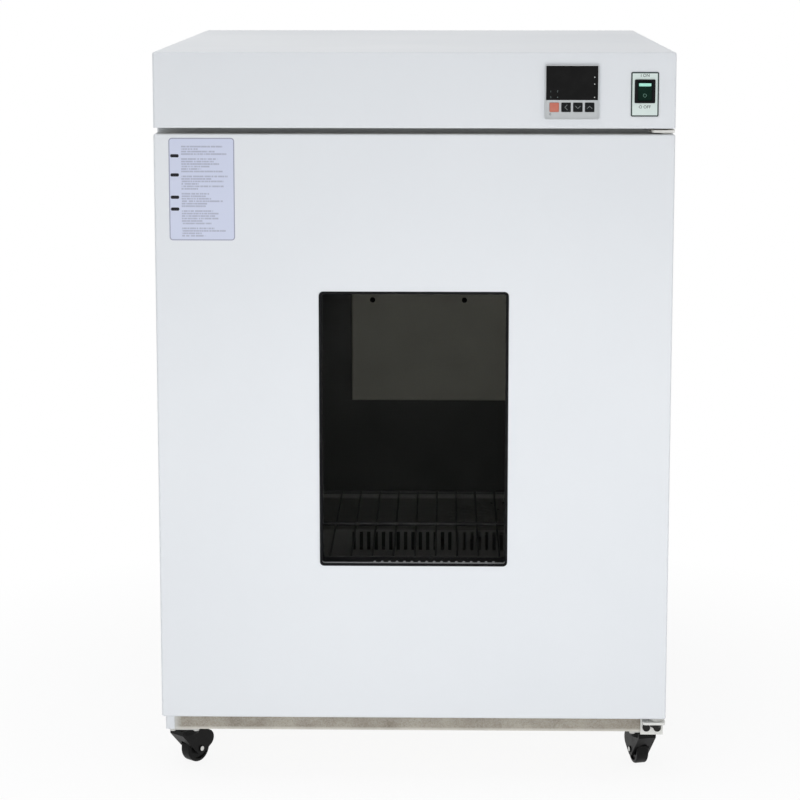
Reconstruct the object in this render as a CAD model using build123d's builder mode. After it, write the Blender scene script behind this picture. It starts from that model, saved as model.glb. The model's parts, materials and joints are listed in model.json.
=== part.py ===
from build123d import *

import math
import os

# Free-standing laboratory incubator: a front-loading heated cabinet on four swivel castors.
# Millimetres. X to the right as seen from the front, Y towards the back, Z up.
# The origin is on the floor, at the centre of the footprint.

os.makedirs("parts", exist_ok=True)

# Overall sizes
width = 690.0
overall_depth = 764.0
body_height = 840.0
box_height = 100.0
controls_proud = 4.0
screw_head_room = 2.5

# Sheets and fits
sheet = 1.2
frame_sheet = 1.5
pan_sheet = 2.0
liner_sheet = 1.0
bend_radius = 3.0
fit = 0.2
running_fit = 0.05
door_gap = 0.3
swivel_gap = 0.3

# Casing
shell_front_flange = 12.0
shell_back_flange = 18.0
back_panel_inset = 2.0
cable_slot_width = 170.0
cable_slot_depth = 24.0
panel_screw_shares = (0.05, 0.35, 0.65, 0.95)
casing_screw = 4.0
casing_screw_length = 8.0
casing_head = 8.0
casing_head_round = 1.0
pan_flange = 30.0

# Chamber walls and insulation
chamber_side_wall = 95.0
chamber_floor_wall = 95.0
chamber_roof_wall = 95.0
chamber_radius = 12.0
liner_flange = 14.0
liner_lap = 0.5
rear_insulation = 100.0
service_space = 70.0

# Door
door_thickness = 37.0
seal_gap = 8.0
door_top_gap = 8.0
door_base_gap = 32.0
plug_rise = 6.0
plug_gap = 11.0
plug_radius = 10.0
plug_edge = 4.0
gasket_width = 16.0
gasket_inset = 31.0
gasket_base = 2.5
gasket_base_step = 2.0
gasket_waist_step = 5.0
gasket_head = 3.5

# Window
window_width = 254.0
window_height = 376.0
window_radius = 6.0
window_rise = 2.0
glass_outer = 5.0
glass_inner = 4.0
glass_pad = 0.6
glass_lap = 1.0
seal_wall = 6.0
lip_width = 3.5
lip_proud = 0.6
spacer_wall = 2.0
spacer_play = 0.5
spacer_flange = 1.5
inner_glass_lap = 4.0

# Finger grip in the door's free edge
grip_height = 110.0
grip_from_front = 8.0
grip_from_back = 8.0
grip_depth = 20.0
grip_wall = 2.0
grip_flange = 5.0
grip_flange_tall = 7.0

# Hinges
pivot_from_front = 20.0
pin_diameter = 8.0
pin_end_gap = 1.0
bush_diameter = 14.0
bush_flange_lap = 2.0
bush_flange_sheet = 1.5
bush_length = 16.0
bush_side_gap = 1.8
bracket_width = 31.0
bracket_nose = 6.0
bracket_corner = 5.0
bracket_sheet = 3.0
bracket_plate = 3.5
bracket_lip = 3.0
upper_bracket_drop = 28.5
bracket_hole = 6.0
hinge_screw_inset = 8.0
lower_screw_rise = 7.5
upper_screw_drop = 18.0
hinge_screw_head = 10.5
hinge_screw_head_height = 3.5
lower_washer = 6.2
lower_washer_diameter = 22.0
upper_washer = 1.6
upper_washer_diameter = 18.0
nut_height = 6.5
nut_size = 13.0

# Air duct
duct_height = 112.0
duct_depth = 216.0
duct_flange = 12.0
duct_slot_width = 5.0
duct_slot_height = 28.0
duct_slot_pitch = 11.1
duct_slot_margin = 153.0
duct_slot_end = 30.0
grille_radii = (78.0, 56.0, 34.0)
grille_slot_spacing = 19.5
grille_slot_length = 14.0
grille_slot_width = 4.0

# Fan
fan_from_wall = 120.0
fan_diameter = 150.0
fan_height = 36.0
fan_top_gap = 14.0
fan_sheet = 1.5
fan_blades = 20
blade_depth = 18.0
blade_sweep = 30.0
blade_bow = 2.5
blade_sheet = 1.2
fan_hub = 26.0
fan_hub_height = 22.0
fan_shaft = 8.0
motor_diameter = 80.0
motor_height = 52.0
motor_round = 6.0
motor_flange_lap = 5.0
motor_pocket_gap = 2.0
shaft_end_gap = 8.0

# Heater and temperature probe
heater_tube = 8.0
heater_pitch = 42.0
heater_straight = 4.0
heater_fan_drop = 20.0
heater_fan_gap = 40.0
heater_margin = 35.0
heater_tail_step = 25.0
heater_tail_pitch = 35.0
tail_reach = 8.0
gland_wall = 4.0
gland_length = 8.0
probe_from_wall = 70.0
probe_above_middle = 80.0
probe_diameter = 5.0
probe_length = 90.0
probe_tip = 2.0

# Rear air guide
guide_from_left = 145.0
guide_from_right = 110.0
guide_height = 210.0
guide_bottom = 272.0
guide_stand_off = 12.0
guide_screw_insets = (33.0, 68.0)
guide_screw_drop = 50.0
guide_screw_hole = 6.0
guide_boss = 10.0

# Shelves, rails and clips
rail_width = 20.0
rail_depth = 8.0
rail_floor_gap = 22.0
rail_roof_gap = 28.0
rail_from_front = 80.0
rail_from_back = 95.0
rail_slot_first = 30.0
rail_slot_pitch = 40.0
rail_slot_width = 12.0
clip_side_play = 1.0
clip_play = 0.5
clip_reach = 14.0
clip_sheet = 2.0
shelf_wire = 3.0
shelf_frame_wire = 6.0
shelf_wire_count = 15
shelf_side_gap = 2.0
shelf_overhang = 30.0
lower_shelf_rise = 128.0
upper_shelf_drop = 102.0

# Control box
floor_rim = 15.0
rear_panel_inset = 14.0
rear_panel_flange = 12.0
vent_width = 3.0
vent_height = 40.0
vent_pitch = 9.0
vent_count = 14
vent_from_side = 240.0

# Temperature controller
controller_size = 72.0
controller_from_side = 137.0
controller_drop = 2.0
controller_lap = 2.1
controller_length = 80.0
controller_corner = 2.5
controller_edge = 0.8
controller_rim = 1.5
controller_rim_depth = 1.2
display_margin = 0.5
display_foot = 24.0
display_thickness = 1.0
key_side_margin = 11.25
key_spacing = 3.3
key_rise = 14.5
key_travel = 0.8
key_depth = 3.0
key_proud = 0.9
key_corner = 1.0
key_edge = 0.5
key_names = ("key_set", "key_left", "key_down", "key_up")

# Power switch
switch_from_side = 41.2
switch_drop = 1.0
switch_plate_width = 36.5
switch_plate_height = 58.5
switch_plate_drop = 5.0
switch_plate_sheet = 1.0
switch_plate_corner = 2.0
switch_bezel_width = 27.0
switch_bezel_height = 31.0
switch_bezel_sheet = 1.8
switch_bezel_corner = 1.5
switch_bezel_edge = 0.6
bezel_side_lap = 2.5
bezel_end_lap = 2.0
switch_depth = 24.0
switch_wall = 1.7
rocker_angle = 8.0
rocker_set_back = 2.5
rocker_face = 3.0
rocker_back = 5.0
rocker_end_gap = 1.2
rocker_floor_gap = 2.5
stub_diameter = 3.0
stub_length = 1.0

# Mains inlet
inlet_from_side = 105.0
inlet_drop = 8.0
inlet_cut = (28.0, 20.5)
inlet_flange_lap = 2.0
inlet_flange_sheet = 2.5
inlet_flange_corner = 2.0
inlet_wall = 1.6
inlet_body_length = 24.0
inlet_body_corner = 1.5
inlet_recess_depth = 16.0
inlet_recess_corner = 3.0
inlet_pin = (2.0, 4.0)
inlet_pin_length = 13.0
inlet_pin_spots = ((-7.0, 2.0), (7.0, 2.0), (0.0, -2.0))

# Relay and terminal strip
relay_spot = (60.0, 40.0)
relay_size = (45.0, 58.0, 23.0)
relay_corner = 3.0
relay_post_pitch = (26.0, 42.0)
relay_post = 8.0
relay_post_height = 2.0
terminal_spot = (-120.0, 40.0)
terminal_ways = 8
terminal_pitch = 9.5
terminal_depth = 22.0
terminal_height = 14.0
terminal_wall = 2.5
terminal_bay = (12.0, 6.0)

# Castors
wheel_diameter = 40.0
wheel_width = 17.0
tread_round = 2.5
wheel_dish = 31.0
dish_depth = 2.5
hub_boss = 18.0
axle_diameter = 6.0
axle_head = 9.0
axle_head_height = 1.5
castor_trail = 18.0
castor_edge = 4.0
castor_plate = 42.0
castor_plate_corner = 4.0
castor_plate_sheet = 2.5
castor_hole_edge = 5.0
castor_screw = 5.0
castor_screw_head = 8.5
castor_screw_head_height = 2.0
castor_screw_room = 2.5
race_height = 3.0
race_diameter = 26.0
king_pin = 8.0
pin_head = 12.0
pin_head_height = 1.5
fork_roof = 6.2
roof_rise = 6.0
fork_disc = 36.0
cheek = 3.5
wheel_side_gap = 0.6
wheel_top_gap = 1.5
hood_wall = 4.5
hood_corner = 12.0
castor_angles = {"front_left": 50.0, "front_right": 105.0, "rear_left": 35.0, "rear_right": 80.0}

# Levels and planes worked out from the sizes above
base_z = wheel_diameter + roof_rise + fork_roof + swivel_gap + race_height + castor_plate_sheet
box_z = base_z + body_height
top_z = box_z + box_height
front_y = -overall_depth / 2 + controls_proud
back_y = overall_depth / 2
door_back_y = front_y + door_thickness
face_y = door_back_y + seal_gap
frame_y = face_y + sheet
frame_back_y = frame_y + frame_sheet
panel_y = back_y - screw_head_room - sheet
half_width = width / 2
side_inner = half_width - sheet

door_low_z = base_z + door_base_gap
door_high_z = box_z - door_top_gap
door_mid_z = (door_low_z + door_high_z) / 2
door_height = door_high_z - door_low_z
window_z = door_mid_z + window_rise

chamber_low_z = base_z + chamber_floor_wall
chamber_high_z = box_z - chamber_roof_wall
chamber_mid_z = (chamber_low_z + chamber_high_z) / 2
chamber_height = chamber_high_z - chamber_low_z
chamber_under_z = chamber_low_z - liner_sheet
chamber_wall_x = half_width - chamber_side_wall
liner_front_y = frame_y - liner_sheet
liner_half = chamber_wall_x + liner_sheet
liner_clear = liner_half + fit
rear_cavity_y = panel_y - service_space
rear_insulation_y = rear_cavity_y - rear_insulation
chamber_back_y = rear_insulation_y - fit - liner_sheet
shell_flange_y = panel_y - shell_back_flange
cable_slot_y = (shell_flange_y - cable_slot_depth, shell_flange_y)

bush_flange = bush_diameter + 2 * bush_flange_lap
pivot_x = half_width - sheet - bush_side_gap - bush_flange / 2
pivot_y = front_y + pivot_from_front


def block(x, y, z, mode=Mode.ADD):
    """Box between (low, high) pairs along X, Y and Z, in the part that is open."""
    middle = ((x[0] + x[1]) / 2, (y[0] + y[1]) / 2, (z[0] + z[1]) / 2)
    with Locations(middle):
        Box(x[1] - x[0], y[1] - y[0], z[1] - z[0], mode=mode)


def facing(y):
    """Sketch plane at depth y, seen from the front: sketch axes are X and Z."""
    return Plane(origin=(0, y, 0), x_dir=(1, 0, 0), z_dir=(0, -1, 0))


def rounded(size, radius, mode=Mode.ADD):
    """Rectangle with rounded corners, or a plain one where the radius is zero."""
    if radius > 0:
        RectangleRounded(size[0], size[1], radius, mode=mode)
    else:
        Rectangle(size[0], size[1], mode=mode)


def grown(size, margin):
    """Rectangle size with a margin added on every side."""
    return (size[0] + 2 * margin, size[1] + 2 * margin)


def ring(y, thickness, centre, outer, inner, outer_radius=0.0, inner_radius=0.0):
    """Upright rectangular ring whose front face is at depth y."""
    with BuildSketch(facing(y)) as profile:
        with Locations(centre):
            rounded(outer, outer_radius)
            rounded(inner, inner_radius, mode=Mode.SUBTRACT)
    extrude(profile.sketch, amount=-thickness)


def upright(y, thickness, centre, size, radius=0.0, mode=Mode.ADD):
    """Upright rounded plate, or cut, whose front face is at depth y."""
    with BuildSketch(facing(y)) as profile:
        with Locations(centre):
            rounded(size, radius)
    extrude(profile.sketch, amount=-thickness, mode=mode)


def rod(start, diameter, length, axis, mode=Mode.ADD):
    """Cylinder that starts at a point and runs along X, Y or Z."""
    with BuildSketch(Plane(origin=start, z_dir=axis)) as profile:
        Circle(diameter / 2)
    extrude(profile.sketch, amount=length, mode=mode)


def drill_back(x, z, diameter, y, depth):
    """Round hole along Y, from just before depth y to just past its far side."""
    rod((x, y - fit, z), diameter, depth + 2 * fit, (0, 1, 0), Mode.SUBTRACT)


def save(piece, label):
    """Name the finished piece and write its STEP file."""
    piece.part.label = label
    export_step(piece.part, f"parts/{label}.step")


# Outer shell: one sheet, left side, top and right side, with narrow flanges at the front and back
panel_screw_spots = [
    (side * (half_width - shell_back_flange / 2), base_z + body_height * share)
    for side in (-1, 1)
    for share in panel_screw_shares
]
casing_hole = casing_screw + 2 * fit

with BuildPart() as outer_shell:
    block((-half_width, half_width), (face_y, panel_y), (base_z, box_z))
    fillet(outer_shell.edges().filter_by(Axis.Z), bend_radius)
    offset(amount=-sheet, openings=outer_shell.faces().sort_by(Axis.Z)[0])
    front_mouth = half_width - shell_front_flange
    back_mouth = half_width - shell_back_flange
    block((-front_mouth, front_mouth), (face_y, frame_y), (base_z, box_z - shell_front_flange),
          Mode.SUBTRACT)
    block((-back_mouth, back_mouth), (panel_y - sheet, panel_y), (base_z, box_z - shell_back_flange),
          Mode.SUBTRACT)
    block((-cable_slot_width / 2, cable_slot_width / 2), cable_slot_y, (box_z - sheet, box_z),
          Mode.SUBTRACT)
    for x, z in panel_screw_spots:
        drill_back(x, z, casing_hole, panel_y - sheet, sheet)
save(outer_shell, "outer_shell")

with BuildPart() as back_panel:
    upright(panel_y, sheet, (0, base_z + body_height / 2), grown((width, body_height), -back_panel_inset),
            bend_radius)
    for x, z in panel_screw_spots:
        drill_back(x, z, casing_hole, panel_y, sheet)
save(back_panel, "back_panel")

with BuildPart() as pan_screw:
    Cylinder(casing_head / 2, screw_head_room - fit, align=(Align.CENTER, Align.CENTER, Align.MIN))
    fillet(pan_screw.edges().sort_by(Axis.Z)[-1], casing_head_round)
    Cylinder(casing_screw / 2, casing_screw_length, align=(Align.CENTER, Align.CENTER, Align.MAX))

with BuildPart() as casing_screws:
    with Locations(*[Location((x, panel_y + sheet, z), (-90, 0, 0)) for x, z in panel_screw_spots]):
        add(pan_screw.part)
save(casing_screws, "casing_screws")

# Front frame: flat ring of bare steel behind the shell's flanges
frame_half = side_inner - bend_radius
frame_top_z = box_z - sheet - fit

with BuildPart() as front_frame:
    block((-frame_half, frame_half), (frame_y, frame_back_y), (base_z, frame_top_z))
    upright(frame_y, frame_sheet, (0, chamber_mid_z),
            (2 * liner_clear, chamber_height + 2 * (liner_sheet + fit)), chamber_radius, Mode.SUBTRACT)
save(front_frame, "front_frame")

# Base pan: a tray that carries the castors
pan_half = side_inner - fit
pan_back_y = panel_y - sheet - fit
castor_inset = castor_edge + castor_plate / 2
castor_x = half_width - castor_inset
castor_front_y = face_y + castor_inset
castor_back_y = shell_flange_y - castor_inset
castor_hole_pitch = castor_plate - 2 * castor_hole_edge
castor_spots = {
    "front_left": (-castor_x, castor_front_y),
    "front_right": (castor_x, castor_front_y),
    "rear_left": (-castor_x, castor_back_y),
    "rear_right": (castor_x, castor_back_y),
}
castor_screw_hole = castor_screw + 2 * fit

with BuildPart() as base_pan:
    block((-pan_half, pan_half), (frame_back_y, pan_back_y), (base_z, base_z + pan_flange))
    fillet(base_pan.edges().filter_by(Axis.Z), bend_radius + pan_sheet)
    offset(amount=-pan_sheet, openings=base_pan.faces().sort_by(Axis.Z)[-1])
    with Locations(*[(x, y, base_z) for x, y in castor_spots.values()]):
        with GridLocations(castor_hole_pitch, castor_hole_pitch, 2, 2):
            Cylinder(castor_screw_hole / 2, 4 * pan_sheet, mode=Mode.SUBTRACT)
save(base_pan, "base_pan")

# Levels of duct, fan, heater and probe, which the chamber and the insulation are pierced for
duct_front_y = chamber_back_y - duct_depth
duct_top_z = chamber_low_z + duct_height
fan_x = chamber_wall_x - fan_from_wall
fan_y = chamber_back_y - duct_depth / 2
fan_low_z = duct_top_z - fan_top_gap - fan_height
motor_low_z = chamber_under_z - motor_height
motor_flange = motor_diameter + 2 * motor_flange_lap
motor_pocket = motor_flange + 2 * motor_pocket_gap
heater_z = fan_low_z - heater_fan_drop
heater_left = -chamber_wall_x + heater_margin
heater_right = fan_x - fan_diameter / 2 - heater_fan_gap
heater_rows = [duct_front_y + heater_margin + heater_pitch * row for row in range(4)]
heater_inner_tail = heater_right + heater_tail_step
heater_outer_tail = heater_inner_tail + heater_tail_pitch
heater_tails = (heater_inner_tail, heater_outer_tail)
heater_hole = heater_tube + 2 * fit
probe_x = -chamber_wall_x + probe_from_wall
probe_z = chamber_mid_z + probe_above_middle
probe_hole = probe_diameter + 2 * fit
tail_end_y = rear_cavity_y + tail_reach

# Insulation slabs between the shell and the chamber, standing on the ends of the castor screws
slab_low_z = base_z + pan_sheet + castor_screw_room + fit
slab_front_y = frame_back_y + pan_sheet + bend_radius
slab_half = pan_half - pan_sheet - fit

with BuildPart() as insulation_sides:
    block((liner_clear, slab_half), (slab_front_y, rear_cavity_y), (slab_low_z, frame_top_z))
    mirror(about=Plane.YZ)
save(insulation_sides, "insulation_sides")

with BuildPart() as insulation_rear:
    block((-liner_clear, liner_clear), (rear_insulation_y, rear_cavity_y), (slab_low_z, frame_top_z))
    for tail in heater_tails:
        drill_back(tail, heater_z, heater_hole, rear_insulation_y, rear_insulation)
    drill_back(probe_x, probe_z, probe_hole, rear_insulation_y, rear_insulation)
save(insulation_rear, "insulation_rear")

with BuildPart() as insulation_top:
    block((-liner_clear, liner_clear), (slab_front_y, rear_insulation_y),
          (chamber_high_z + liner_sheet + fit, frame_top_z))
save(insulation_top, "insulation_top")

with BuildPart() as insulation_bottom:
    block((-liner_clear, liner_clear), (slab_front_y, rear_insulation_y),
          (slab_low_z, chamber_under_z - fit))
    block((fan_x - motor_pocket / 2, fan_x + motor_pocket / 2),
          (fan_y - motor_pocket / 2, fan_y + motor_pocket / 2),
          (motor_low_z - 2 * fit, chamber_low_z), Mode.SUBTRACT)
save(insulation_bottom, "insulation_bottom")

# Inner chamber: deep-drawn stainless liner with a mouth flange
with BuildPart() as inner_chamber:
    block((-liner_half, liner_half), (liner_front_y, chamber_back_y + liner_sheet),
          (chamber_under_z, chamber_high_z + liner_sheet))
    long_edges = inner_chamber.edges().filter_by(Axis.Y)
    back_edges = inner_chamber.faces().sort_by(Axis.Y)[-1].edges()
    fillet(long_edges + back_edges, chamber_radius)
    offset(amount=-liner_sheet, openings=inner_chamber.faces().sort_by(Axis.Y)[0])
    liner_mouth = (2 * liner_half, chamber_height + 2 * liner_sheet)
    ring(liner_front_y, liner_sheet, (0, chamber_mid_z), grown(liner_mouth, liner_flange),
         grown(liner_mouth, -liner_lap), chamber_radius + liner_flange, chamber_radius)
    rod((fan_x, fan_y, chamber_under_z - liner_sheet), 2 * fan_shaft, 3 * liner_sheet, (0, 0, 1),
        Mode.SUBTRACT)
    for tail in heater_tails:
        drill_back(tail, heater_z, heater_hole, chamber_back_y, liner_sheet)
    drill_back(probe_x, probe_z, probe_hole, chamber_back_y, liner_sheet)
save(inner_chamber, "inner_chamber")

# Air duct cover: bent sheet with a slotted front and a round grille over the fan
duct_half = chamber_wall_x - chamber_radius
slot_first_x = -chamber_wall_x + duct_slot_margin + duct_slot_width / 2
slot_last_x = chamber_wall_x - duct_slot_end - duct_slot_width / 2
duct_slot_count = int((slot_last_x - slot_first_x) / duct_slot_pitch) + 1
slot_mid_z = duct_top_z - bend_radius - duct_slot_height / 2
mid_sheet = sheet / 2

with BuildPart() as air_duct_cover:
    with BuildSketch(Plane.YZ.offset(-duct_half)):
        with BuildLine():
            Polyline(
                (duct_front_y + duct_flange, chamber_low_z + mid_sheet),
                (duct_front_y + mid_sheet, chamber_low_z + mid_sheet),
                (duct_front_y + mid_sheet, duct_top_z - mid_sheet),
                (chamber_back_y - mid_sheet, duct_top_z - mid_sheet),
                (chamber_back_y - mid_sheet, duct_top_z + duct_flange),
            )
            offset(amount=mid_sheet, side=Side.BOTH)
        make_face()
    extrude(amount=2 * duct_half)
    with BuildSketch(facing(duct_front_y - sheet)):
        for index in range(duct_slot_count):
            with Locations((slot_first_x + index * duct_slot_pitch, slot_mid_z)):
                Rectangle(duct_slot_width, duct_slot_height)
    extrude(amount=-3 * sheet, mode=Mode.SUBTRACT)
    with BuildSketch(Plane.XY.offset(duct_top_z - 2 * sheet)):
        for radius in grille_radii:
            with Locations((fan_x, fan_y)):
                with PolarLocations(radius, round(2 * math.pi * radius / grille_slot_spacing)):
                    Rectangle(grille_slot_length, grille_slot_width)
    extrude(amount=3 * sheet, mode=Mode.SUBTRACT)
save(air_duct_cover, "air_duct_cover")

# Fan motor, hung under the chamber floor
shaft_low_z = motor_low_z + shaft_end_gap

with BuildPart() as fan_motor:
    with Locations((fan_x, fan_y, motor_low_z)):
        Cylinder(motor_diameter / 2, motor_height, align=(Align.CENTER, Align.CENTER, Align.MIN))
    fillet(fan_motor.edges().sort_by(Axis.Z)[0], motor_round)
    block((fan_x - motor_flange / 2, fan_x + motor_flange / 2),
          (fan_y - motor_flange / 2, fan_y + motor_flange / 2),
          (chamber_under_z - bracket_sheet, chamber_under_z))
    rod((fan_x, fan_y, shaft_low_z - fit), fan_shaft + 2 * running_fit, motor_height, (0, 0, 1),
        Mode.SUBTRACT)
save(fan_motor, "fan_motor")

# Fan wheel on its shaft: back plate, hub, ring of bowed blades and shroud
blade_half = blade_depth / 2 - blade_sheet
with BuildSketch() as fan_blade:
    with BuildLine():
        ThreePointArc((-blade_half, -blade_sheet), (0, blade_bow - blade_sheet), (blade_half, -blade_sheet))
        ThreePointArc((-blade_half, 0), (0, blade_bow), (blade_half, 0))
        Line((-blade_half, -blade_sheet), (-blade_half, 0))
        Line((blade_half, -blade_sheet), (blade_half, 0))
    make_face()

with BuildPart() as fan_impeller:
    with BuildSketch(Plane.XY.offset(fan_low_z)):
        with Locations((fan_x, fan_y)):
            Circle(fan_diameter / 2)
    extrude(amount=fan_sheet)
    with BuildSketch(Plane.XY.offset(fan_low_z + fan_height - fan_sheet)):
        with Locations((fan_x, fan_y)):
            Circle(fan_diameter / 2)
            Circle(fan_diameter / 2 - blade_depth, mode=Mode.SUBTRACT)
    extrude(amount=fan_sheet)
    with BuildSketch(Plane.XY.offset(fan_low_z + fan_sheet)):
        with Locations((fan_x, fan_y)):
            with PolarLocations((fan_diameter - blade_depth) / 2 - blade_sheet, fan_blades):
                with Locations(Location((0, 0), blade_sweep)):
                    add(fan_blade.sketch)
    extrude(amount=fan_height - 2 * fan_sheet)
    rod((fan_x, fan_y, fan_low_z), fan_hub, fan_hub_height, (0, 0, 1))
    rod((fan_x, fan_y, shaft_low_z), fan_shaft, fan_low_z - shaft_low_z, (0, 0, 1))
save(fan_impeller, "fan_impeller")

# Heater: one tube in four passes, with both ends through the rear wall
heater_bend = (heater_pitch - heater_straight) / 2

with BuildPart() as heater_element:
    with BuildLine(Plane.XY.offset(heater_z)) as heater_path:
        FilletPolyline(
            (heater_outer_tail, tail_end_y),
            (heater_outer_tail, heater_rows[0]),
            (heater_left, heater_rows[0]),
            (heater_left, heater_rows[1]),
            (heater_right, heater_rows[1]),
            (heater_right, heater_rows[2]),
            (heater_left, heater_rows[2]),
            (heater_left, heater_rows[3]),
            (heater_inner_tail, heater_rows[3]),
            (heater_inner_tail, tail_end_y),
            radius=heater_bend,
        )
    with BuildSketch(Plane(origin=heater_path.line @ 0, z_dir=heater_path.line % 0)):
        Circle(heater_tube / 2)
    sweep(path=heater_path.line)
    for tail in heater_tails:
        rod((tail, chamber_back_y - gland_length, heater_z), heater_tube + 2 * gland_wall,
            gland_length, (0, 1, 0))
save(heater_element, "heater_element")

with BuildPart() as temperature_probe:
    rod((probe_x, chamber_back_y - probe_length, probe_z), probe_diameter,
        probe_length + tail_end_y - chamber_back_y, (0, 1, 0))
    fillet(temperature_probe.edges().sort_by(Axis.Y)[0], probe_tip)
    rod((probe_x, chamber_back_y - gland_length, probe_z), probe_diameter + 2 * gland_wall,
        gland_length, (0, 1, 0))
save(temperature_probe, "temperature_probe")

# Rear air guide: shallow pan on the rear wall, on two hollow bosses for its screws
guide_left_x = -chamber_wall_x + guide_from_left
guide_right_x = chamber_wall_x - guide_from_right
guide_screws_x = (guide_left_x + guide_screw_insets[0], guide_right_x - guide_screw_insets[1])
guide_low_z = chamber_low_z + guide_bottom
guide_high_z = guide_low_z + guide_height
guide_face_y = chamber_back_y - guide_stand_off

with BuildPart() as rear_air_guide:
    block((guide_left_x, guide_right_x), (guide_face_y, chamber_back_y), (guide_low_z, guide_high_z))
    fillet(rear_air_guide.faces().sort_by(Axis.Y)[0].edges(), bend_radius)
    offset(amount=-sheet, openings=rear_air_guide.faces().sort_by(Axis.Y)[-1])
    for x in guide_screws_x:
        spot = (x, guide_face_y, guide_high_z - guide_screw_drop)
        rod(spot, guide_boss, guide_stand_off, (0, 1, 0))
        rod(spot, guide_screw_hole, guide_stand_off - sheet, (0, 1, 0), Mode.SUBTRACT)
save(rear_air_guide, "rear_air_guide")

# Shelf rails: four slotted channels on the side walls
rail_low_z = chamber_low_z + rail_floor_gap
rail_high_z = chamber_high_z - rail_roof_gap
rail_face_x = chamber_wall_x - rail_depth
rail_spots = (face_y + rail_from_front, chamber_back_y - rail_from_back)
shelf_slot_z = rail_low_z + rail_slot_first
rail_slot_count = int((rail_high_z - rail_slot_first - shelf_slot_z) / rail_slot_pitch) + 1
rail_slot_height = clip_sheet + 2 * clip_play

with BuildPart() as shelf_rails:
    for rail_y in rail_spots:
        low_y = rail_y - rail_width / 2
        high_y = rail_y + rail_width / 2
        block((rail_face_x, chamber_wall_x), (low_y, high_y), (rail_low_z, rail_high_z))
        block((rail_face_x + sheet, chamber_wall_x), (low_y + sheet, high_y - sheet),
              (rail_low_z, rail_high_z), Mode.SUBTRACT)
        with BuildSketch(Plane.YZ.offset(rail_face_x - sheet)):
            for index in range(rail_slot_count):
                with Locations((rail_y, shelf_slot_z + index * rail_slot_pitch)):
                    Rectangle(rail_slot_width, rail_slot_height)
        extrude(amount=3 * sheet, mode=Mode.SUBTRACT)
    mirror(about=Plane.YZ)
save(shelf_rails, "shelf_rails")


def shelf_level(aim):
    """Underside of a shelf whose clips hook into the rail slot nearest to the wanted level."""
    steps = round((aim - shelf_slot_z) / rail_slot_pitch)
    return shelf_slot_z + steps * rail_slot_pitch + clip_sheet / 2


# Clips that hook into the rails and carry the shelves
shelf_levels = {
    "wire_shelf_lower": shelf_level(chamber_low_z + lower_shelf_rise),
    "wire_shelf_upper": shelf_level(chamber_high_z - upper_shelf_drop),
}
clip_width = rail_slot_width - 2 * clip_side_play

with BuildPart() as shelf_clips:
    for level in shelf_levels.values():
        for rail_y in rail_spots:
            span = (rail_y - clip_width / 2, rail_y + clip_width / 2)
            block((rail_face_x - clip_reach, rail_face_x + 2 * sheet), span, (level - clip_sheet, level))
            block((rail_face_x - clip_sheet, rail_face_x), span, (level - clip_reach, level))
    mirror(about=Plane.YZ)
save(shelf_clips, "shelf_clips")

# Wire shelves: a heavy frame with one cross wire, and light wires from front to back
shelf_side_x = rail_face_x - shelf_side_gap - shelf_frame_wire / 2
shelf_low_y = rail_spots[0] - shelf_overhang
shelf_high_y = rail_spots[1] + shelf_overhang
wire_spacing = 2 * shelf_side_x / (shelf_wire_count + 1)

for shelf_name, level in shelf_levels.items():
    wire_z = level + shelf_frame_wire / 2
    with BuildPart() as wire_shelf:
        for x in (-shelf_side_x, shelf_side_x):
            rod((x, shelf_low_y, wire_z), shelf_frame_wire, shelf_high_y - shelf_low_y, (0, 1, 0))
        for y in (shelf_low_y, (shelf_low_y + shelf_high_y) / 2, shelf_high_y):
            rod((-shelf_side_x, y, wire_z), shelf_frame_wire, 2 * shelf_side_x, (1, 0, 0))
        for index in range(shelf_wire_count):
            x = -shelf_side_x + (index + 1) * wire_spacing
            rod((x, shelf_low_y, wire_z), shelf_wire, shelf_high_y - shelf_low_y, (0, 1, 0))
    save(wire_shelf, shelf_name)

# Door outer panel: a tray of sheet with a window, and a grip cut in its free edge
grip_z = (door_mid_z - grip_height / 2, door_mid_z + grip_height / 2)
grip_y = (front_y + grip_from_front, door_back_y - grip_from_back)
window_size = (window_width, window_height)

with BuildPart() as door_outer_panel:
    block((-half_width, half_width), (front_y, door_back_y - sheet), (door_low_z, door_high_z))
    fillet(door_outer_panel.edges().filter_by(Axis.Y), bend_radius)
    fillet(door_outer_panel.faces().sort_by(Axis.Y)[0].edges(), bend_radius)
    offset(amount=-sheet, openings=door_outer_panel.faces().sort_by(Axis.Y)[-1])
    upright(front_y - sheet, 3 * sheet, (0, window_z), window_size, window_radius, Mode.SUBTRACT)
    block((-half_width - sheet, -half_width + 2 * sheet), grip_y, grip_z, Mode.SUBTRACT)
    rod((pivot_x, pivot_y, door_low_z - sheet), bush_diameter + 2 * fit, door_height + 2 * sheet,
        (0, 0, 1), Mode.SUBTRACT)
save(door_outer_panel, "door_outer_panel")

# Window: rubber seal with a lip in front, two panes and the spacer between them
glass_y = front_y + sheet + glass_pad
glass_size = grown(window_size, glass_lap)
glass_radius = window_radius / 2
seal_outer = grown(glass_size, seal_wall)
seal_inner = grown(window_size, -lip_width)
seal_inner_radius = window_radius - lip_width
spacer_y = glass_y + glass_outer
spacer_inner = grown(seal_inner, spacer_play)
spacer_outer = grown(spacer_inner, spacer_wall)
plug_back_y = door_back_y + plug_rise
inner_glass_y = plug_back_y - sheet - glass_inner

with BuildPart() as window_seal:
    ring(front_y - lip_proud, lip_proud + sheet + glass_pad, (0, window_z),
         grown(window_size, -fit / 2), seal_inner, window_radius - fit / 2, seal_inner_radius)
    ring(front_y + sheet, glass_pad, (0, window_z), seal_outer, seal_inner, window_radius,
         seal_inner_radius)
    ring(glass_y, glass_outer, (0, window_z), seal_outer, grown(glass_size, fit / 2), window_radius,
         glass_radius)
save(window_seal, "window_seal")

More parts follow.
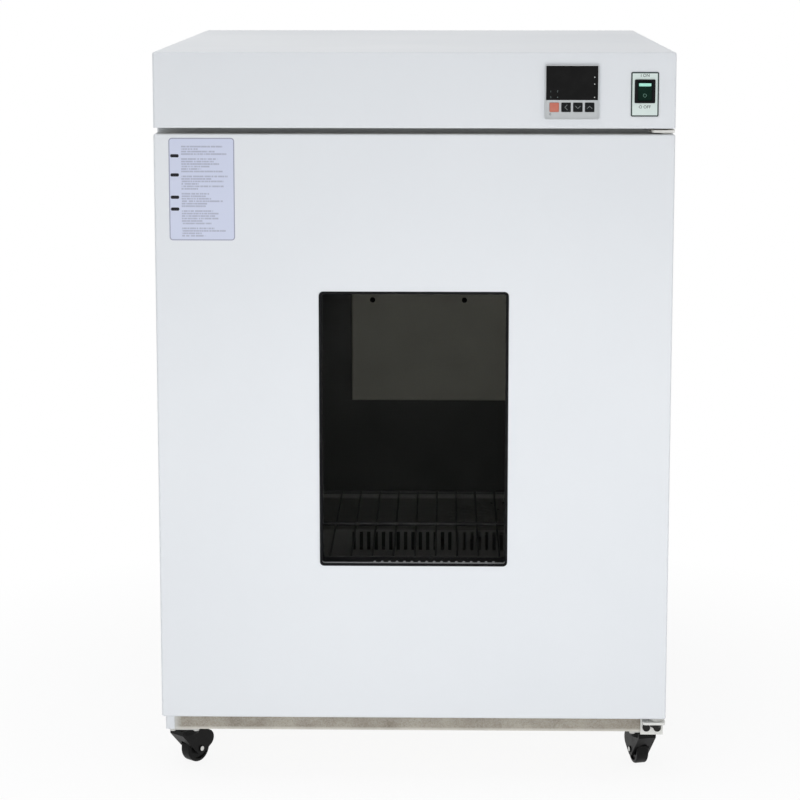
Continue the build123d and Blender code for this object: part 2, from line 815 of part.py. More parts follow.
with BuildPart() as outer_glass:
    upright(glass_y, glass_outer, (0, window_z), glass_size, glass_radius)
save(outer_glass, "outer_glass")

with BuildPart() as window_spacer:
    ring(spacer_y, spacer_flange, (0, window_z), seal_outer, spacer_inner, window_radius, glass_radius)
    ring(spacer_y, inner_glass_y - spacer_y, (0, window_z), spacer_outer, spacer_inner,
         glass_radius + spacer_wall, glass_radius)
save(window_spacer, "window_spacer")

with BuildPart() as inner_glass:
    upright(inner_glass_y, glass_inner, (0, window_z), grown(spacer_outer, inner_glass_lap),
            glass_radius)
save(inner_glass, "inner_glass")

# Door inner panel: flat rim with a raised plug towards the chamber
plug_size = grown((width, door_height), -gasket_inset - gasket_width - plug_gap)

with BuildPart() as door_inner_panel:
    upright(door_back_y - sheet, sheet, (0, door_mid_z), grown((width, door_height), -fit), bend_radius)
    upright(door_back_y - sheet, plug_rise + sheet, (0, door_mid_z), plug_size, plug_radius)
    fillet(door_inner_panel.faces().sort_by(Axis.Y)[-1].edges(), plug_edge)
    upright(door_back_y - 2 * sheet, plug_rise + sheet, (0, door_mid_z), grown(plug_size, -sheet),
            plug_radius - sheet, Mode.SUBTRACT)
    upright(plug_back_y - 2 * sheet, 3 * sheet, (0, window_z), spacer_inner, glass_radius,
            Mode.SUBTRACT)
save(door_inner_panel, "door_inner_panel")

# Door insulation, cut out for window, grip cup and hinge bushes
skin = sheet + fit
grip_room_y = (grip_y[0] - grip_flange - fit, grip_y[1] + grip_flange + fit)
grip_room_z = (grip_z[0] - grip_flange_tall - fit, grip_z[1] + grip_flange_tall + fit)
bush_room = bush_flange + 2 * fit

with BuildPart() as door_insulation:
    block((-half_width + skin, half_width - skin), (front_y + skin, door_back_y - skin),
          (door_low_z + skin, door_high_z - skin))
    fillet(door_insulation.edges().filter_by(Axis.Y), bend_radius)
    fillet(door_insulation.faces().sort_by(Axis.Y)[0].edges(), bend_radius)
    upright(front_y, door_thickness, (0, window_z), grown(seal_outer, fit), window_radius,
            Mode.SUBTRACT)
    block((-half_width, -half_width + grip_depth + grip_wall + fit), grip_room_y, grip_room_z,
          Mode.SUBTRACT)
    for z in (door_low_z, door_high_z):
        rod((pivot_x, pivot_y, z - bush_length - fit), bush_room, 2 * (bush_length + fit), (0, 0, 1),
            Mode.SUBTRACT)
save(door_insulation, "door_insulation")

# Finger grip: moulded cup behind the cut in the door's free edge
with BuildPart() as door_grip:
    cup_x = (-half_width, -half_width + grip_depth + grip_wall)
    cup_y = (grip_y[0] + fit / 2, grip_y[1] - fit / 2)
    cup_z = (grip_z[0] + fit / 2, grip_z[1] - fit / 2)
    flange_x = -half_width + sheet
    block(cup_x, cup_y, cup_z)
    block((flange_x, flange_x + grip_wall), (grip_y[0] - grip_flange, grip_y[1] + grip_flange),
          (grip_z[0] - grip_flange_tall, grip_z[1] + grip_flange_tall))
    block((cup_x[0], cup_x[1] - grip_wall), (cup_y[0] + grip_wall, cup_y[1] - grip_wall),
          (cup_z[0] + grip_wall, cup_z[1] - grip_wall), Mode.SUBTRACT)
save(door_grip, "door_grip")

# Door gasket: base strip, waist and sealing head, all round the inner panel
gasket_room = frame_y - door_back_y - door_gap
gasket_steps = (
    (0.0, gasket_base, gasket_base_step),
    (gasket_base, gasket_room - gasket_head, gasket_waist_step),
    (gasket_room - gasket_head, gasket_room, 0.0),
)

with BuildPart() as door_gasket:
    for start, stop, step in gasket_steps:
        outer = grown((width, door_height), -gasket_inset - step)
        ring(door_back_y + start, stop - start, (0, door_mid_z), outer,
             grown(outer, 2 * step - gasket_width))
save(door_gasket, "door_gasket")

# Hinges: pins on brackets, bushes in the door's lower and upper edges
bracket_x = (half_width - bracket_width, half_width)
lower_plate_z = door_low_z - lower_washer - door_gap
upper_plate_z = door_high_z + upper_washer + door_gap
bracket_front_y = front_y + bracket_nose
leg_front_y = face_y - bracket_sheet
hinge_screw_x = (bracket_x[0] + hinge_screw_inset, bracket_x[1] - hinge_screw_inset)
lower_screw_z = base_z + lower_screw_rise
upper_screw_z = door_high_z - upper_screw_drop

with BuildPart() as hinge_bushes:
    for level, up in ((door_low_z, 1), (door_high_z, -1)):
        rod((pivot_x, pivot_y, level), bush_diameter, up * bush_length, (0, 0, 1))
        rod((pivot_x, pivot_y, level + up * sheet), bush_flange, up * bush_flange_sheet, (0, 0, 1))
        rod((pivot_x, pivot_y, level - up * fit), pin_diameter + 2 * running_fit,
            up * (bush_length + 2 * fit), (0, 0, 1), Mode.SUBTRACT)
save(hinge_bushes, "hinge_bushes")

bracket_levels = {
    "lower_hinge_bracket": ((lower_plate_z - bracket_plate, lower_plate_z),
                            (base_z - bracket_lip, lower_plate_z), lower_screw_z),
    "upper_hinge_bracket": ((upper_plate_z, upper_plate_z + bracket_plate),
                            (door_high_z - upper_bracket_drop, upper_plate_z), upper_screw_z),
}
for bracket_name, (plate_z, leg_z, screw_z) in bracket_levels.items():
    with BuildPart() as hinge_bracket:
        block(bracket_x, (bracket_front_y, face_y), plate_z)
        block(bracket_x, (leg_front_y, face_y), leg_z)
        fillet(hinge_bracket.edges().filter_by(Axis.Z).sort_by(Axis.Y)[:2], bracket_corner)
        rod((pivot_x, pivot_y, plate_z[0] - fit), pin_diameter, bracket_plate + 2 * fit, (0, 0, 1),
            Mode.SUBTRACT)
        for x in hinge_screw_x:
            drill_back(x, screw_z, bracket_hole, leg_front_y, bracket_sheet)
    save(hinge_bracket, bracket_name)

pin_reach = door_gap + bush_length - pin_end_gap

with BuildPart() as hinge_pins:
    rod((pivot_x, pivot_y, lower_plate_z - bracket_plate), pin_diameter,
        bracket_plate + lower_washer + pin_reach, (0, 0, 1))
    with BuildSketch(Plane.XY.offset(lower_plate_z - bracket_plate)):
        with Locations((pivot_x, pivot_y)):
            RegularPolygon(nut_size / 2, 6, major_radius=False)
    extrude(amount=-nut_height)
    rod((pivot_x, pivot_y, upper_plate_z + bracket_plate), pin_diameter,
        -(bracket_plate + upper_washer + pin_reach), (0, 0, 1))
save(hinge_pins, "hinge_pins")

with BuildPart() as hinge_washers:
    washers = (
        (lower_plate_z, lower_washer, lower_washer_diameter),
        (upper_plate_z, -upper_washer, upper_washer_diameter),
    )
    for level, thickness, diameter in washers:
        with BuildSketch(Plane.XY.offset(level)):
            with Locations((pivot_x, pivot_y)):
                Circle(diameter / 2)
                Circle(pin_diameter / 2 + running_fit, mode=Mode.SUBTRACT)
        extrude(amount=thickness)
save(hinge_washers, "hinge_washers")

with BuildPart() as hinge_screws:
    for x in hinge_screw_x:
        rod((x, leg_front_y, lower_screw_z), hinge_screw_head, -hinge_screw_head_height, (0, 1, 0))
        for z in (lower_screw_z, upper_screw_z):
            rod((x, leg_front_y, z), bracket_hole - 2 * fit, bracket_sheet, (0, 1, 0))
save(hinge_screws, "hinge_screws")

# Control box: cover, open at the back and below
box_mid_z = (box_z + top_z) / 2
controller_x = half_width - controller_from_side
controller_z = box_mid_z - controller_drop
controller_body = controller_size - 2 * controller_lap
controller_cut = controller_body + 2 * fit
switch_x = half_width - switch_from_side
switch_z = box_mid_z - switch_drop
switch_plate_z = box_mid_z - switch_plate_drop
switch_body = (switch_bezel_width - 2 * bezel_side_lap, switch_bezel_height - 2 * bezel_end_lap)
switch_cut = grown(switch_body, fit)
floor_top_z = box_z + sheet

with BuildPart() as control_cover:
    block((-half_width, half_width), (front_y, back_y), (box_z, top_z))
    top_edges = control_cover.faces().sort_by(Axis.Z)[-1].edges().sort_by(Axis.Y)[:-1]
    front_edges = control_cover.edges().filter_by(Axis.Z).sort_by(Axis.Y)[:2]
    fillet(top_edges + front_edges, bend_radius)
    back_face = control_cover.faces().sort_by(Axis.Y)[-1]
    bottom_face = control_cover.faces().sort_by(Axis.Z)[0]
    offset(amount=-sheet, openings=[back_face, bottom_face])
    upright(front_y - sheet, 3 * sheet, (controller_x, controller_z),
            (controller_cut, controller_cut), 0.0, Mode.SUBTRACT)
    upright(front_y - sheet, 3 * sheet, (switch_x, switch_z), switch_cut, 0.0, Mode.SUBTRACT)
save(control_cover, "control_cover")

# Control box floor: a sheet with turned-up sides, on the shell's top
floor_half = side_inner - fit
floor_front_y = front_y + sheet + fit

with BuildPart() as control_floor:
    block((-floor_half, floor_half), (floor_front_y, back_y - sheet), (box_z, box_z + floor_rim))
    fillet(control_floor.edges().filter_by(Axis.Z).sort_by(Axis.Y)[:2], bend_radius)
    block((-floor_half + sheet, floor_half - sheet), (front_y, back_y), (floor_top_z, top_z),
          Mode.SUBTRACT)
    block((-cable_slot_width / 2, cable_slot_width / 2), cable_slot_y, (box_z, floor_top_z),
          Mode.SUBTRACT)
save(control_floor, "control_floor")

# Control box rear panel, with vent slots and the inlet's cut-out
rear_panel_y = back_y - rear_panel_inset
rear_half = floor_half - sheet - fit
inlet_spot = (-half_width + inlet_from_side, box_mid_z - inlet_drop)
vent_x = half_width - vent_from_side

with BuildPart() as control_rear_panel:
    block((-rear_half, rear_half), (rear_panel_y - rear_panel_flange, rear_panel_y),
          (floor_top_z, top_z - sheet - fit))
    offset(amount=-sheet, openings=control_rear_panel.faces().sort_by(Axis.Y)[0])
    upright(rear_panel_y - 2 * sheet, 3 * sheet, inlet_spot, inlet_cut, 0.0, Mode.SUBTRACT)
    with BuildSketch(facing(rear_panel_y - 2 * sheet)):
        with Locations((vent_x, box_mid_z)):
            with GridLocations(vent_pitch, 0, vent_count, 1):
                Rectangle(vent_width, vent_height)
    extrude(amount=-3 * sheet, mode=Mode.SUBTRACT)
save(control_rear_panel, "control_rear_panel")

# Mains inlet: three flat pins in a shrouded socket, pushed in from the back
inlet_face_y = rear_panel_y + inlet_flange_sheet
inlet_body = grown(inlet_cut, -fit)

with BuildPart() as mains_inlet:
    upright(rear_panel_y, inlet_flange_sheet, inlet_spot, grown(inlet_cut, inlet_flange_lap),
            inlet_flange_corner)
    upright(inlet_face_y - inlet_body_length, inlet_body_length, inlet_spot, inlet_body,
            inlet_body_corner)
    upright(inlet_face_y - inlet_recess_depth, inlet_recess_depth, inlet_spot,
            grown(inlet_body, -inlet_wall), inlet_recess_corner, Mode.SUBTRACT)
    for dx, dz in inlet_pin_spots:
        upright(inlet_face_y - inlet_recess_depth, inlet_pin_length,
                (inlet_spot[0] + dx, inlet_spot[1] + dz), inlet_pin)
save(mains_inlet, "mains_inlet")

# Temperature controller: housing with bezel, display window and four keys
bezel_front_y = front_y - controls_proud
face_plate_y = bezel_front_y + controller_rim_depth
controller_face = controller_size - 2 * controller_rim
face_low_z = controller_z - controller_face / 2
display_width = controller_face - 2 * display_margin
display_height = controller_face - display_foot
display_z = face_low_z + display_foot + display_height / 2
key_pitch = (controller_face - 2 * key_side_margin) / (len(key_names) - 1)
key_size = key_pitch - key_spacing
key_first_x = controller_x - controller_face / 2 + key_side_margin
key_spots = {
    name: (key_first_x + index * key_pitch, face_low_z + key_rise)
    for index, name in enumerate(key_names)
}

with BuildPart() as controller_housing:
    upright(bezel_front_y, controls_proud, (controller_x, controller_z),
            (controller_size, controller_size), controller_corner)
    fillet(controller_housing.faces().sort_by(Axis.Y)[0].edges(), controller_edge)
    upright(bezel_front_y, controller_rim_depth, (controller_x, controller_z),
            (controller_face, controller_face), controller_corner - controller_rim, Mode.SUBTRACT)
    upright(face_plate_y, display_thickness, (controller_x, display_z),
            grown((display_width, display_height), fit / 2), 0.0, Mode.SUBTRACT)
    upright(front_y, controller_length, (controller_x, controller_z),
            (controller_body, controller_body))
    for spot in key_spots.values():
        upright(face_plate_y, key_depth + key_travel, spot, grown((key_size, key_size), fit),
                key_corner + fit, Mode.SUBTRACT)
save(controller_housing, "controller_housing")

with BuildPart() as display_window:
    upright(face_plate_y, display_thickness, (controller_x, display_z), (display_width, display_height))
save(display_window, "display_window")

for key_name, spot in key_spots.items():
    with BuildPart() as key:
        upright(face_plate_y - key_proud, key_depth + key_proud - fit, spot, (key_size, key_size),
                key_corner)
        fillet(key.faces().sort_by(Axis.Y)[0].edges(), key_edge)
    save(key, key_name)

# Power switch: plate, housing with pivot holes, and a V-faced rocker
switch_spot = (switch_x, switch_z)
switch_bezel_y = front_y - switch_plate_sheet - switch_bezel_sheet
rocker_pivot_y = front_y + rocker_set_back
rocker_width = switch_body[0] - 2 * switch_wall
rocker_height = switch_body[1] - 2 * switch_wall
rocker_room = (rocker_width + 4 * fit, rocker_height + 2 * rocker_end_gap)
rocker_floor_y = rocker_pivot_y + rocker_back + rocker_floor_gap

with BuildPart() as switch_plate:
    upright(front_y - switch_plate_sheet, switch_plate_sheet, (switch_x, switch_plate_z),
            (switch_plate_width, switch_plate_height), switch_plate_corner)
    upright(front_y - 2 * switch_plate_sheet, 3 * switch_plate_sheet, switch_spot, switch_cut, 0.0,
            Mode.SUBTRACT)
save(switch_plate, "switch_plate")

with BuildPart() as switch_housing:
    upright(switch_bezel_y, switch_bezel_sheet, switch_spot, (switch_bezel_width, switch_bezel_height),
            switch_bezel_corner)
    fillet(switch_housing.faces().sort_by(Axis.Y)[0].edges(), switch_bezel_edge)
    upright(switch_bezel_y + switch_bezel_sheet, switch_depth, switch_spot, switch_body)
    upright(switch_bezel_y, rocker_floor_y - switch_bezel_y, switch_spot, rocker_room, 0.0,
            Mode.SUBTRACT)
    rod((switch_x - rocker_room[0] / 2 - stub_length, rocker_pivot_y, switch_z),
        stub_diameter + 2 * running_fit, rocker_room[0] + 2 * stub_length, (1, 0, 0), Mode.SUBTRACT)
save(switch_housing, "switch_housing")

with BuildPart() as power_rocker:
    tilt = math.radians(rocker_angle)
    half = rocker_height / 2
    end_face = rocker_face + half * math.tan(tilt)
    rocker_plane = Plane(
        origin=(switch_x - rocker_width / 2, rocker_pivot_y, switch_z),
        x_dir=(0, math.cos(tilt), math.sin(tilt)),
        z_dir=(1, 0, 0),
    )
    with BuildSketch(rocker_plane):
        with BuildLine():
            Polyline(
                (-rocker_face, 0),
                (-end_face, half),
                (0, half),
                (rocker_back, half / 3),
                (rocker_back, -half / 3),
                (0, -half),
                (-end_face, -half),
                close=True,
            )
        make_face()
    extrude(amount=rocker_width)
    rod((switch_x - rocker_width / 2 - stub_length - fit, rocker_pivot_y, switch_z),
        stub_diameter, rocker_width + 2 * (stub_length + fit), (1, 0, 0))
save(power_rocker, "power_rocker")

# Relay and terminal strip on the control box floor
relay_top_z = floor_top_z + relay_size[2]
strip_half = terminal_ways * terminal_pitch / 2
strip_top_z = floor_top_z + terminal_height

with BuildPart() as heater_relay:
    block((relay_spot[0] - relay_size[0] / 2, relay_spot[0] + relay_size[0] / 2),
          (relay_spot[1] - relay_size[1] / 2, relay_spot[1] + relay_size[1] / 2),
          (floor_top_z, relay_top_z))
    fillet(heater_relay.edges().filter_by(Axis.Z), relay_corner)
    with BuildSketch(Plane.XY.offset(relay_top_z)):
        with Locations(relay_spot):
            with GridLocations(relay_post_pitch[0], relay_post_pitch[1], 2, 2):
                Circle(relay_post / 2)
    extrude(amount=relay_post_height)
save(heater_relay, "heater_relay")

with BuildPart() as terminal_strip:
    block((terminal_spot[0] - strip_half, terminal_spot[0] + strip_half),
          (terminal_spot[1] - terminal_depth / 2, terminal_spot[1] + terminal_depth / 2),
          (floor_top_z, strip_top_z))
    with BuildSketch(Plane.XY.offset(strip_top_z)):
        with Locations(terminal_spot):
            with GridLocations(terminal_pitch, 0, terminal_ways, 1):
                Rectangle(terminal_pitch - terminal_wall, terminal_bay[0])
    extrude(amount=-terminal_bay[1], mode=Mode.SUBTRACT)
save(terminal_strip, "terminal_strip")

# Castor plates: plate, bearing race and riveted king pin
plate_under_z = base_z - castor_plate_sheet
fork_top_z = plate_under_z - race_height - swivel_gap
fork_roof_z = fork_top_z - fork_roof

with BuildPart() as castor_plates:
    for x, y in castor_spots.values():
        with BuildSketch(Plane.XY.offset(base_z)):
            with Locations((x, y)):
                RectangleRounded(castor_plate, castor_plate, castor_plate_corner)
                with GridLocations(castor_hole_pitch, castor_hole_pitch, 2, 2):
                    Circle(castor_screw_hole / 2, mode=Mode.SUBTRACT)
        extrude(amount=-castor_plate_sheet)
        rod((x, y, plate_under_z), race_diameter, -race_height, (0, 0, 1))
        rod((x, y, plate_under_z), king_pin, fork_roof_z - fit - plate_under_z, (0, 0, 1))
        rod((x, y, fork_roof_z - fit), pin_head, -pin_head_height, (0, 0, 1))
save(castor_plates, "castor_plates")

castor_screw_spots = [
    (x + dx * castor_hole_pitch / 2, y + dy * castor_hole_pitch / 2, plate_under_z)
    for x, y in castor_spots.values()
    for dx in (-1, 1)
    for dy in (-1, 1)
]
castor_screw_length = castor_plate_sheet + pan_sheet + castor_screw_room

with BuildPart() as castor_screws:
    for spot in castor_screw_spots:
        rod(spot, castor_screw_head, -castor_screw_head_height, (0, 0, 1))
        rod(spot, castor_screw, castor_screw_length, (0, 0, 1))
save(castor_screws, "castor_screws")


def castor_frame(corner):
    """Plane through the king pin at floor level, with its X axis along the trail."""
    x, y = castor_spots[corner]
    angle = math.radians(castor_angles[corner])
    return Plane(origin=(x, y, 0), x_dir=(math.cos(angle), math.sin(angle), 0), z_dir=(0, 0, 1))


# Fork and wheel are drawn once, with the king pin on the Z axis and the trail along X
axle_z = wheel_diameter / 2
axle_place = Location((castor_trail, 0, axle_z), (90, 0, 0))
wheel_room = wheel_width + 2 * wheel_side_gap
fork_width = wheel_room + 2 * cheek
hood_radius = wheel_diameter / 2 + hood_wall

with BuildPart() as fork_shape:
    with BuildSketch(Plane.XZ):
        with Locations((castor_trail, axle_z)):
            Circle(hub_boss / 2)
        with Locations((castor_trail + hood_radius - hood_corner, axle_z + hood_corner)):
            Circle(hood_corner)
        with Locations((0, (fork_top_z + fork_roof_z) / 2)):
            Rectangle(fork_disc, fork_roof)
        make_hull()
    extrude(amount=fork_width / 2, both=True)
    rod((0, 0, fork_roof_z), fork_disc, fork_roof, (0, 0, 1))
    with Locations(axle_place):
        Cylinder(wheel_diameter / 2 + wheel_top_gap, wheel_room, mode=Mode.SUBTRACT)
        Cylinder(axle_diameter / 2 + running_fit, 2 * fork_width, mode=Mode.SUBTRACT)
    rod((0, 0, fork_roof_z), king_pin + 2 * running_fit, fork_roof, (0, 0, 1), Mode.SUBTRACT)
    rod((0, 0, fork_roof_z), pin_head + 4 * fit, -fork_roof_z, (0, 0, 1), Mode.SUBTRACT)

with BuildPart() as axle_shape:
    with Locations(axle_place):
        Cylinder(axle_diameter / 2, fork_width + axle_head_height)
        for side in (-1, 1):
            with Locations((0, 0, side * ((fork_width + axle_head_height) / 2 + running_fit))):
                Cylinder(axle_head / 2, axle_head_height)

with BuildPart() as wheel_shape:
    bore = axle_diameter / 2 + running_fit
    rim = wheel_diameter / 2
    side = wheel_width / 2
    hub = hub_boss / 2
    wheel_plane = Plane(origin=(castor_trail, 0, axle_z), x_dir=(0, 1, 0), z_dir=(1, 0, 0))
    with BuildSketch(wheel_plane) as wheel_profile:
        with BuildLine():
            Polyline(
                (-side, bore),
                (-side, hub),
                (-side + dish_depth, hub),
                (-side + dish_depth, wheel_dish / 2),
                (-side, wheel_dish / 2),
                (-side, rim),
                (side, rim),
                (side, wheel_dish / 2),
                (side - dish_depth, wheel_dish / 2),
                (side - dish_depth, hub),
                (side, hub),
                (side, bore),
                close=True,
            )
        make_face()
        fillet(wheel_profile.vertices().group_by(Axis.Y)[-1], tread_round)
    revolve(axis=Axis((castor_trail, 0, axle_z), (0, 1, 0)))

for corner in castor_spots:
    with BuildPart() as castor_fork:
        with Locations(castor_frame(corner)):
            add(fork_shape.part)
            add(axle_shape.part)
    save(castor_fork, f"castor_fork_{corner}")
    with BuildPart() as castor_wheel:
        with Locations(castor_frame(corner)):
            add(wheel_shape.part)
    save(castor_wheel, f"castor_wheel_{corner}")
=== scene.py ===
# %% [markdown]
# # A laboratory incubator
# The real thing is a white steel cabinet on four small castors, with a control box on top, one door
# with a dark window, and a fan-driven air duct at the back of its stainless chamber. The solids come
# packed and fixed. This script lights them, gives every piece its finish, and adds the printed card,
# the legends and the other thin things that lie on the surfaces.

# %% The fixed frame
import json
import math

import bpy
from mathutils import Matrix, Vector


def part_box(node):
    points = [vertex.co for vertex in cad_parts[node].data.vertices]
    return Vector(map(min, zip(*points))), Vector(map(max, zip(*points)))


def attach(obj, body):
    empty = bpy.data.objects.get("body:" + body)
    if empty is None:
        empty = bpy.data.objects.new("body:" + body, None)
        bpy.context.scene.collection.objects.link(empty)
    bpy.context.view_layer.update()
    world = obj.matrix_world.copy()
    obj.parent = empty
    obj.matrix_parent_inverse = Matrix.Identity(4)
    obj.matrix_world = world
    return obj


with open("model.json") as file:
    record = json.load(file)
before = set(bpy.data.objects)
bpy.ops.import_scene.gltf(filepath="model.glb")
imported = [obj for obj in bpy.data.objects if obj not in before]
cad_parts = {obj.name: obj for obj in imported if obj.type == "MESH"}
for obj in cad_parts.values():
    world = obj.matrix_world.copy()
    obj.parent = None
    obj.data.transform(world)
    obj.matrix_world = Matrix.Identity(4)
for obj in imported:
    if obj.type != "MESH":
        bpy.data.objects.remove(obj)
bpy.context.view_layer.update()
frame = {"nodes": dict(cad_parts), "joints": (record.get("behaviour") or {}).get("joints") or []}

nodes = frame["nodes"]

# %% [markdown]
# ## The camera
# The picture was taken from a little above the cabinet's middle, almost square to the door, with a long
# lens. Sliding the lens down (a shift) keeps the upright edges nearly parallel, as they are in the
# picture. The numbers below put the eight corners of the cabinet where the picture has them.

# %% Camera
camera_place = Vector((0.0434, -3.6639, 1.1495))
camera_down = math.radians(8.782)
camera_turn = math.radians(1.076)
camera_lens = 112.02
camera_drop = -0.1

bpy.ops.object.camera_add(location=camera_place, rotation=(math.pi / 2 - camera_down, 0, camera_turn))
camera = bpy.context.object
camera.name = "camera"
camera.data.lens = camera_lens
camera.data.shift_y = camera_drop
camera.data.clip_end = 100
bpy.context.scene.camera = camera
bpy.context.scene.view_settings.view_transform = "Standard"
print("camera", [round(v, 3) for v in camera.location])

# %% [markdown]
# ## Shader maths as plain expressions
# A finish is a sum of small patterns: grain, clouds, brush marks. Writing `0.3 + 0.1 * cloud` is easier
# to read than wiring nodes by hand. So `Signal` wraps a socket and turns Python's operators into Math
# nodes, and `Finish` adds any other node with one method.

# %% Signals and finishes
class Signal:
    """A value in a material, which Python's operators work on."""

    def __init__(self, finish, socket):
        self.finish = finish
        self.socket = socket

    def math(self, operation, *values):
        return self.finish.add("ShaderNodeMath", {"operation": operation}, dict(enumerate(values)))

    def __add__(self, other):
        return self.math("ADD", self, other)

    def __sub__(self, other):
        return self.math("SUBTRACT", self, other)

    def __rsub__(self, other):
        return self.math("SUBTRACT", other, self)

    def __mul__(self, other):
        return self.math("MULTIPLY", self, other)

    def __truediv__(self, other):
        return self.math("DIVIDE", self, other)

    def __pow__(self, other):
        return self.math("POWER", self, other)

    def __mod__(self, other):
        return self.math("FLOORED_MODULO", self, other)

    def __abs__(self):
        return self.math("ABSOLUTE", self)

    __radd__ = __add__
    __rmul__ = __mul__

    def larger(self, other):
        return self.math("MAXIMUM", self, other)

    def smaller(self, other):
        return self.math("MINIMUM", self, other)

    def floor(self):
        return self.math("FLOOR", self)

    def below(self, limit, soft=0.00015):
        """1 where the value is under limit, with a soft edge."""
        return 1 - self.band(limit, limit + soft)

    def band(self, low, high):
        """0 below low, 1 above high, and a straight slope between."""
        return self.finish.add("ShaderNodeMapRange", {"clamp": True}, {0: self, 1: low, 2: high})


class Finish:
    """One material and its nodes."""

    def __init__(self, name):
        self.material = bpy.data.materials.new(name)
        self.material.use_nodes = True
        self.tree = self.material.node_tree
        self.tree.nodes.clear()
        self.point = self.add("ShaderNodeTexCoord", out="Object")

    def add(self, kind, settings=None, sockets=None, out=0):
        """Adds a node: first its settings, then the values or links of its sockets."""
        node = self.tree.nodes.new(kind)
        for setting, value in (settings or {}).items():
            setattr(node, setting, value)
        for key, value in (sockets or {}).items():
            if isinstance(value, Signal):
                self.tree.links.new(value.socket, node.inputs[key])
            else:
                node.inputs[key].default_value = value
        return Signal(self, node.outputs[out])

    def along(self, axis):
        return self.add("ShaderNodeSeparateXYZ", sockets={0: self.point}, out=axis)

    def stretched(self, scale):
        """The object's own coordinates, stretched, for a pattern that has a direction."""
        return self.add("ShaderNodeMapping", sockets={"Vector": self.point, "Scale": scale})

    def noise(self, scale, detail=2.0, point=None, rough=0.5):
        sockets = {"Vector": point or self.point, "Scale": scale, "Detail": detail, "Roughness": rough}
        return self.add("ShaderNodeTexNoise", sockets=sockets)

    def cells(self, scale, out="Distance"):
        return self.add("ShaderNodeTexVoronoi", sockets={"Vector": self.point, "Scale": scale}, out=out)

    def colour(self, factor, low, high):
        """low where factor is 0, high where it is 1. Either may be a colour or a colour signal."""
        low, high = (end if isinstance(end, Signal) else (*end, 1) for end in (low, high))
        return self.add("ShaderNodeMix", {"data_type": "RGBA"}, {0: factor, 6: low, 7: high}, out=2)

    def rounded(self, centre, half_width, half_height, radius):
        """How far a point lies outside a rounded rectangle that faces the front; inside it is negative."""
        aside = abs(self.along("X") - centre[0]) - (half_width - radius)
        above = abs(self.along("Z") - centre[1]) - (half_height - radius)
        outside = (aside.larger(0) ** 2 + above.larger(0) ** 2) ** 0.5
        return outside + aside.larger(above).smaller(0) - radius

    def bump(self, height, depth):
        """A relief of the given depth in metres, from a height between 0 and 1."""
        return self.add("ShaderNodeBump", sockets={"Height": height, "Distance": depth, "Strength": 1.0})

    def principled(self, sockets):
        """Ends the material in one Principled shader. Constants go on its own sockets."""
        shader = self.add("ShaderNodeBsdfPrincipled", sockets=sockets)
        self.add_output(shader)
        return self.material

    def add_output(self, shader):
        output = self.tree.nodes.new("ShaderNodeOutputMaterial")
        self.tree.links.new(shader.socket, output.inputs["Surface"])


def dress(material, *names):
    """Gives a finish to every material slot of the named solids."""
    for name in names:
        for slot in nodes[name].material_slots:
            slot.material = material
    print(material.name, "on", ", ".join(names))


# %% [markdown]
# ## Floor, world and lamps
# The picture's ground is plain white. A white floor that fades into white light away from the cabinet
# gives that ground and still takes a soft shadow under the castors. The world is white for the camera,
# for mirrors and through glass, and a plain grey light for everything else, so that the paint keeps its
# own colour.

# %% White floor
floor_size = 14.0
fade_start = 0.45
fade_end = 1.0
shadow_share = 0.10

bpy.ops.mesh.primitive_circle_add(vertices=96, radius=floor_size / 2, fill_type="NGON", location=(0, 0, 0))
floor = bpy.context.object
floor.name = "studio_floor"
ground = Finish("studio_white")
distance = ground.add("ShaderNodeVectorMath", {"operation": "LENGTH"}, {0: ground.point}, out="Value")
matte = ground.add("ShaderNodeBsdfDiffuse", sockets={"Color": (0.98, 0.98, 0.98, 1)})
glow = ground.add("ShaderNodeEmission", sockets={"Color": (1, 1, 1, 1), "Strength": 1.0})
camera_ray, glossy_ray, through_ray = (
    ground.add("ShaderNodeLightPath", out=f"Is {kind} Ray") for kind in ("Camera", "Glossy", "Transmission"))
seen = camera_ray.larger(glossy_ray).larger(through_ray)
far = (1 - shadow_share + shadow_share * distance.band(fade_start, fade_end)) * seen
ground.add_output(ground.add("ShaderNodeMixShader", sockets={0: far, 1: matte, 2: glow}))
floor.data.materials.append(ground.material)
print("floor", floor_size, "m, fading from", fade_start, "to", fade_end)

# %% World
world_light = 0.42
world = bpy.data.worlds.new("studio_world")
bpy.context.scene.world = world
world.use_nodes = True
tree = world.node_tree
tree.nodes.clear()
light_path = tree.nodes.new("ShaderNodeLightPath")
seen_directly = light_path.outputs["Is Camera Ray"]
for kind in ("Is Glossy Ray", "Is Transmission Ray"):
    either = tree.nodes.new("ShaderNodeMath")
    either.operation = "MAXIMUM"
    tree.links.new(seen_directly, either.inputs[0])
    tree.links.new(light_path.outputs[kind], either.inputs[1])
    seen_directly = either.outputs[0]
lit, white = (tree.nodes.new("ShaderNodeBackground") for _ in range(2))
lit.inputs["Color"].default_value = (0.97, 0.98, 1, 1)
lit.inputs["Strength"].default_value = world_light
white.inputs["Color"].default_value = (1, 1, 1, 1)
white.inputs["Strength"].default_value = 1.0
blend = tree.nodes.new("ShaderNodeMixShader")
tree.links.new(seen_directly, blend.inputs[0])
tree.links.new(lit.outputs[0], blend.inputs[1])
tree.links.new(white.outputs[0], blend.inputs[2])
tree.links.new(blend.outputs[0], tree.nodes.new("ShaderNodeOutputWorld").inputs["Surface"])
print("world light", world_light)


